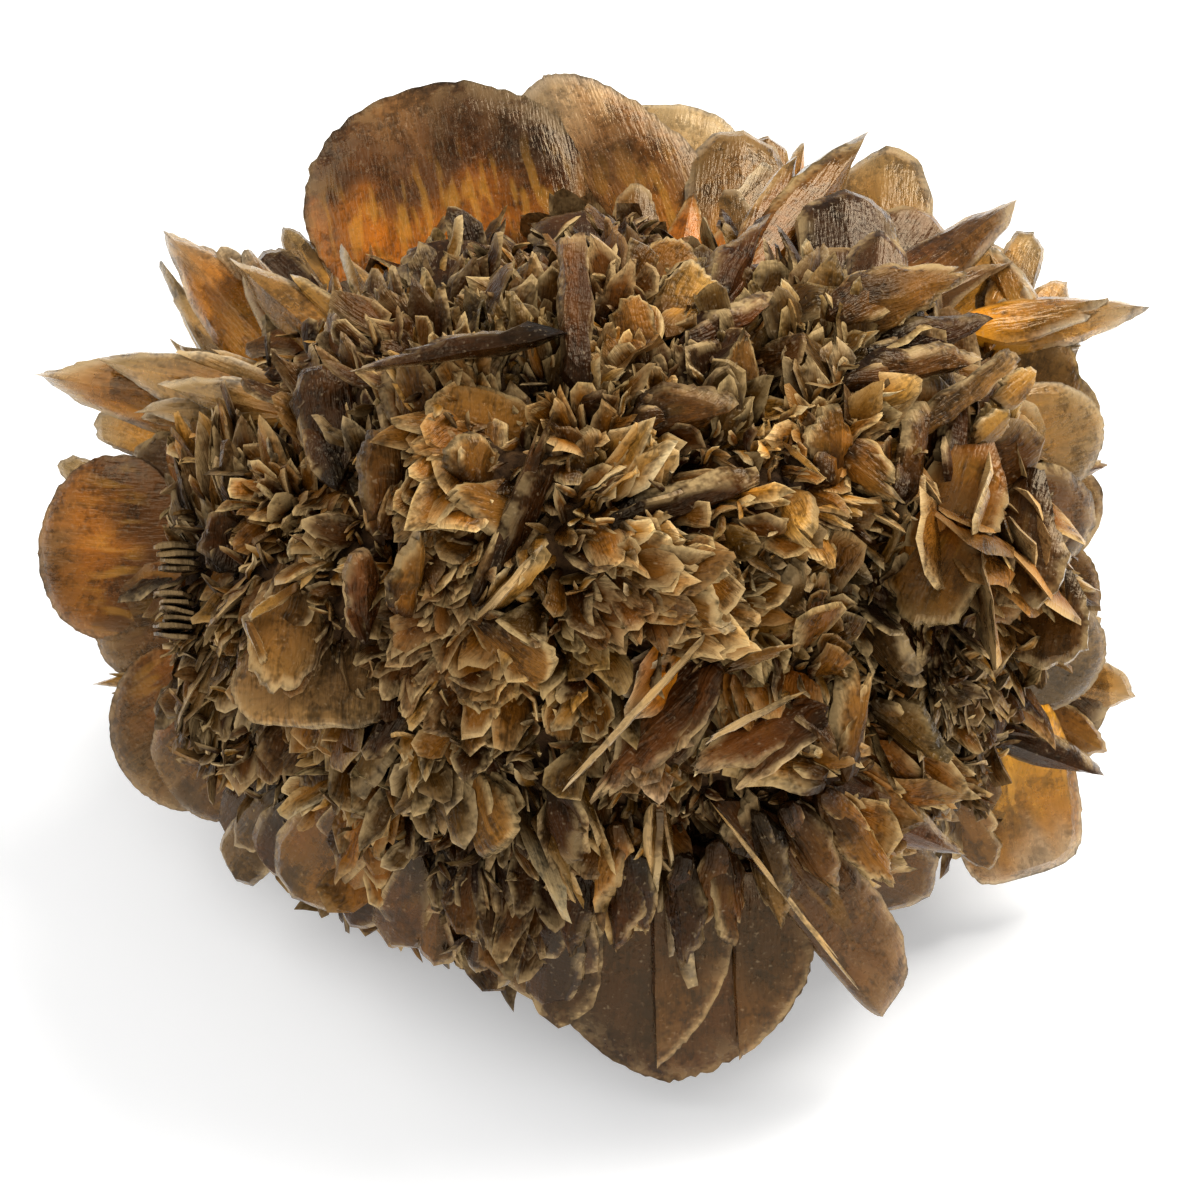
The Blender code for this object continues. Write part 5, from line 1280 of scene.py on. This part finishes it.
def add_core():
    """Add the dark, lumpy mass that everything grows from, cut off flat below."""
    points = []
    for ring in range(1, CORE_RINGS):
        polar = math.pi * ring / CORE_RINGS
        for side in range(CORE_SIDES):
            angle = math.tau * side / CORE_SIDES
            away = np.array((math.sin(polar) * math.cos(angle), math.sin(polar) * math.sin(angle),
                             math.cos(polar)))
            place = CORE_HALF_SIZE * away
            grit = noise.noise(Vector(place) / GRIT_PITCH) * GRIT - GRIT_DEPTH
            rise = lump(place) + grit + relief(place + CORE_MIDDLE)
            points.append(place + away * rise + CORE_MIDDLE)
    for pole in (1.0, -1.0):
        points.append(CORE_MIDDLE + CORE_HALF_SIZE * np.array((0.0, 0.0, pole)))
    points = np.array(points)
    points[:, 2] = np.maximum(points[:, 2], 0.0)
    faces = []
    for ring in range(CORE_RINGS - 2):
        for side in range(CORE_SIDES):
            a = ring * CORE_SIDES + side
            b = ring * CORE_SIDES + (side + 1) % CORE_SIDES
            faces.append((a, a + CORE_SIDES, b + CORE_SIDES))
            faces.append((a, b + CORE_SIDES, b))
    top, bottom = len(points) - 2, len(points) - 1
    last = (CORE_RINGS - 2) * CORE_SIDES
    for side in range(CORE_SIDES):
        beside = (side + 1) % CORE_SIDES
        faces.append((top, side, beside))
        faces.append((bottom, last + beside, last + side))
    mesh = bpy.data.meshes.new("core")
    mesh.from_pydata([tuple(point * MM) for point in points], [], faces)
    mesh.update()
    PIECES.append(add_object("core", mesh))
    mesh.materials.append(core_material())


class Finish:
    """A material being made, with short ways to add nodes to its tree."""

    def __init__(self, name):
        self.material = bpy.data.materials.new(name)
        self.material.use_nodes = True
        self.tree = self.material.node_tree
        self.shader = self.tree.nodes["Principled BSDF"]
        self.place = self.node("TexCoord")["Object"]

    def fill(self, node, inputs):
        """Set a node's inputs, or link them where they are given another node's output."""
        for name, value in inputs.items():
            if isinstance(value, bpy.types.NodeSocket):
                self.tree.links.new(value, node.inputs[name])
            else:
                node.inputs[name].default_value = value

    def node(self, kind, inputs=None, **settings):
        """Add a node and return its outputs."""
        made = self.tree.nodes.new("ShaderNode" + kind)
        for name, value in settings.items():
            setattr(made, name, value)
        self.fill(made, inputs or {})
        return made.outputs

    def attribute(self, name):
        """Return the outputs of one of the pieces' own attributes."""
        return self.node("Attribute", attribute_name=name)

    def noise(self, vector, scale, octaves, roughness, **settings):
        """Return a noise pattern."""
        return self.node("TexNoise", {"Vector": vector, "Scale": scale, "Detail": octaves,
                                      "Roughness": roughness}, **settings)["Fac"]

    def mapped(self, source, low, high, to_low, to_high):
        """Stretch the part of a value between low and high over another range."""
        return self.node("MapRange", {"Value": source, "From Min": low, "From Max": high,
                                      "To Min": to_low, "To Max": to_high})["Result"]

    def math(self, operation, first, second):
        """Combine two values."""
        return self.node("Math", {0: first, 1: second}, operation=operation)["Value"]

    def mix(self, share, colour, other):
        """Turn a share of a colour into another one."""
        return self.node("Mix", {"Factor": share, "A": colour, "B": opaque(other)},
                         data_type="RGBA")["Result"]

    def ramp(self, source, stops):
        """Colour a value by stops of position and linear colour."""
        made = self.tree.nodes.new("ShaderNodeValToRGB")
        elements = made.color_ramp.elements
        while len(elements) < len(stops):
            elements.new(1.0)
        for element, (position, colour) in zip(elements, stops):
            element.position = position
            element.color = colour
        self.fill(made, {"Fac": source})
        return made.outputs["Color"]

    def bump(self, strength, distance, height):
        """Give the surface a relief."""
        made = self.node("Bump", {"Strength": strength, "Distance": distance, "Height": height})
        self.fill(self.shader, {"Normal": made["Normal"]})


def crystal_material(name, glass, bump, haze, gloss, streaks, glow, mottle, facets):
    """Return a crystal finish: the pieces' own tints, with streaks and steps along the blades."""
    finish = Finish(name)
    mapped, times = finish.mapped, functools.partial(finish.math, "MULTIPLY")
    tint = finish.attribute("Tint")
    clear = finish.attribute("Clear")["Fac"]
    blade = finish.node("UVMap", uv_map="Blade")["UV"]

    def stretched(scale, **more):
        return finish.node("Mapping", {"Vector": blade, "Scale": scale, **more})["Vector"]

    cloud = finish.noise(finish.place, CLOUD_SCALE, 3.0, 0.72)
    grain = finish.noise(finish.place, GRAIN_SCALE, 1.0, 0.6)
    patch = finish.noise(finish.place, PATCH_SCALE, 1.0, 0.55)
    streak = finish.noise(stretched(STREAK_STRETCH), 1.0, 2.0, 0.6, noise_dimensions="2D")
    beam = finish.noise(stretched(BEAM_STRETCH), 1.0, 1.0, 0.6, noise_dimensions="2D")
    cells = finish.node("TexVoronoi", {"Vector": stretched(CELL_STRETCH, Rotation=CELL_TURN),
                                       "Scale": 1.0, "Randomness": 1.0}, voronoi_dimensions="2D")
    level = finish.node("SeparateColor", {"Color": cells["Color"]})["Red"]

    # Light and dark: clouds, streaks, grain and the level of each step
    shading = times(mapped(cloud, 0.36, 0.64, 0.50, 1.50),
                    mapped(streak, 0.36, 0.64, 1.0 - streaks, 1.0 + streaks))
    shading = times(shading, mapped(grain, 0.3, 0.7, 0.68, 1.34))
    shading = times(shading, mapped(level, 0.0, 1.0, 1.0 - facets, 1.0 + facets))

    # The tint, mottled by iron stains; STAIN_SCALE keeps the ramp's colours under 1
    stain = finish.ramp(patch, [
        (position, (*(1.0 + (np.array(colour) - 1.0) * mottle) / STAIN_SCALE, 1.0))
        for position, colour in STAINS])
    stained = finish.node("VectorMath", {0: tint["Color"], 1: stain}, operation="MULTIPLY")
    body = finish.node("VectorMath", {0: stained["Vector"],
                                      "Scale": mapped(shading, 0.0, 1.0, 0.0, STAIN_SCALE)},
                       operation="SCALE")["Vector"]

    # Over it: specks of dust, a painted golden glint of light in the clear feet of blades, and frost on
    # their rims
    glint = times(mapped(beam, 0.52, 0.64, 0.0, glow), tint["Alpha"])
    glint = times(glint, mapped(clear, 0.28, 0.62, 0.0, 1.0))
    frost = times(mapped(cloud, 0.45, 0.58, 0.0, FROSTING), finish.attribute("Frost")["Fac"])
    colour = finish.mix(mapped(grain, 0.66, 0.78, 0.0, 0.16), body, DUST)
    colour = finish.mix(glint, colour, GLINT)
    colour = finish.mix(frost, colour, FROST)
    finish.fill(finish.shader, {
        "Base Color": colour,
        "Roughness": mapped(cloud, 0.3, 0.7, haze - 0.1, haze + 0.14),
        "IOR": GYPSUM_IOR,
        "Specular IOR Level": gloss,
        "Specular Tint": SPECULAR_TINT,
    })
    if glass:
        finish.fill(finish.shader, {"Transmission Weight": mapped(clear, 0.0, 1.0, 0.0, glass)})

    height = finish.math("ADD", streak, mapped(grain, 0.0, 1.0, 0.0, 0.6))
    height = finish.math("ADD", height, mapped(level, 0.0, 1.0, 0.0, 3.0 * facets))
    finish.bump(bump, CRYSTAL_BUMP, height)
    return finish.material


def core_material():
    """Return the dark, earthy finish of the mass in the middle."""
    finish = Finish("core_selenite")
    cloud = finish.noise(finish.place, EARTH_SCALE, 6.0, 0.7)
    finish.fill(finish.shader, {
        "Base Color": finish.ramp(cloud, [(0.35, opaque(CORE_DARK)), (0.7, opaque(CORE_LIGHT))]),
        "Roughness": 0.8,
        "Specular IOR Level": 0.08,
    })
    finish.bump(CORE_BUMP_STRENGTH, CORE_BUMP, cloud)
    return finish.material


def floor_object():
    """Build the pale floor under the cluster."""
    mesh = bpy.data.meshes.new("floor")
    half = FLOOR_HALF
    mesh.from_pydata([(-half, -half, 0.0), (half, -half, 0.0), (half, half, 0.0),
                      (-half, half, 0.0)], [], [(0, 1, 2, 3)])
    finish = Finish("floor_paper")
    cloud = finish.noise(finish.place, PAPER_SCALE, 4.0, 0.5)
    finish.fill(finish.shader, {
        "Base Color": finish.ramp(cloud, list(zip((0.0, 1.0), FLOOR_TONES))),
        "Roughness": 0.9,
        "Emission Color": (1.0, 1.0, 1.0, 1.0),
        "Emission Strength": FLOOR_GLOW,
    })
    mesh.materials.append(finish.material)
    return add_object("floor", mesh)


def grow_crystals():
    """Grow every crystal; the random draws depend on this order."""
    rng = np.random.default_rng(SEED)
    rims = Heap("rim_blades", RIM_BEND)
    add_rows(rims, rng, CROWN)
    add_rows(rims, rng, RIGHT_RIM, ragged=RIGHT_RAGGED)
    for rows in (LOWER_RIM, LEFT_RIM, FRINGE):
        add_rows(rims, rng, rows)
    add_rows(rims, rng, BARS, ragged=BAR_RAGGED, pales=BAR_PALES)
    for rows in (CROWN, RIGHT_RIM, LOWER_RIM, LEFT_RIM):
        add_echoes(rims, rng, rows)
    faces = Heap("face_blades", FACE_BEND)
    add_rows(faces, rng, FACE_BLADES, FACE_ROOT, FACE_LIFT, FACE_RAGGED, FACE_PALES)
    add_echoes(faces, rng, FACE_BLADES)
    add_block(faces, rng)
    petals = Heap("small_crystals", SMALL_BEND)
    for row in PATCHES:
        add_patch(petals, rng, row)
    add_ground(petals, rng)
    add_chips(petals, rng)
    add_rear(rims, petals, rng)
    for heap in (rims, faces, petals):
        heap.build()
    blade_finish = crystal_material("blade_selenite", **BLADE_FINISH)
    petal_finish = crystal_material("petal_selenite", **PETAL_FINISH)
    for piece in PIECES:
        rim = piece.name.startswith(rims.name)
        piece.data.materials.append(blade_finish if rim else petal_finish)


def add_lamps():
    """Add soft square lamps that look at the cluster, and a pale sky."""
    for name, (away, distance, size, energy, colour) in LAMPS.items():
        data = bpy.data.lights.new(name, "AREA")
        data.size = size
        data.energy = energy
        data.color = colour
        aim = Vector(away).normalized()
        lamp = add_object(name, data)
        lamp.location = aim * distance + Vector(LAMP_AIM)
        lamp.rotation_euler = aim.to_track_quat("Z", "Y").to_euler()
    world = bpy.data.worlds.new("studio")
    world.use_nodes = True
    sky = world.node_tree.nodes["Background"]
    sky.inputs["Color"].default_value = (1.0, 1.0, 1.0, 1.0)
    sky.inputs["Strength"].default_value = WORLD_STRENGTH
    bpy.context.scene.world = world


def add_camera():
    """Add the camera at the photo's angle, VIEW_DISTANCE out from the middle."""
    data = bpy.data.cameras.new("camera")
    data.sensor_width = SENSOR
    data.lens = SENSOR * VIEW_DISTANCE / VIEW_WIDTH
    data.clip_start = 0.01
    data.clip_end = 10.0
    camera = add_object("camera", data)
    axes = Matrix((Vector(RIGHT), Vector(UP), Vector(OUT))).transposed().to_4x4()
    spot = Vector(OUT) * VIEW_DISTANCE * MM + Vector((0.0, 0.0, CORE_HEIGHT * MM))
    camera.matrix_world = Matrix.Translation(spot) @ axes
    bpy.context.scene.camera = camera


def main():
    """Build the pieces, the floor, the light and the camera."""
    grow_crystals()
    add_core()
    for piece in PIECES:
        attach(piece, "root")
        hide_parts(NODE)
    floor_object()
    add_lamps()
    add_camera()
    scene = bpy.context.scene
    scene.view_settings.view_transform = "Standard"
    # Most of the crystals are opaque, so few bounces are enough
    scene.cycles.use_denoising = True
    scene.cycles.max_bounces = 3
    scene.cycles.diffuse_bounces = 1
    scene.cycles.glossy_bounces = 2
    scene.cycles.transmission_bounces = 3


main()
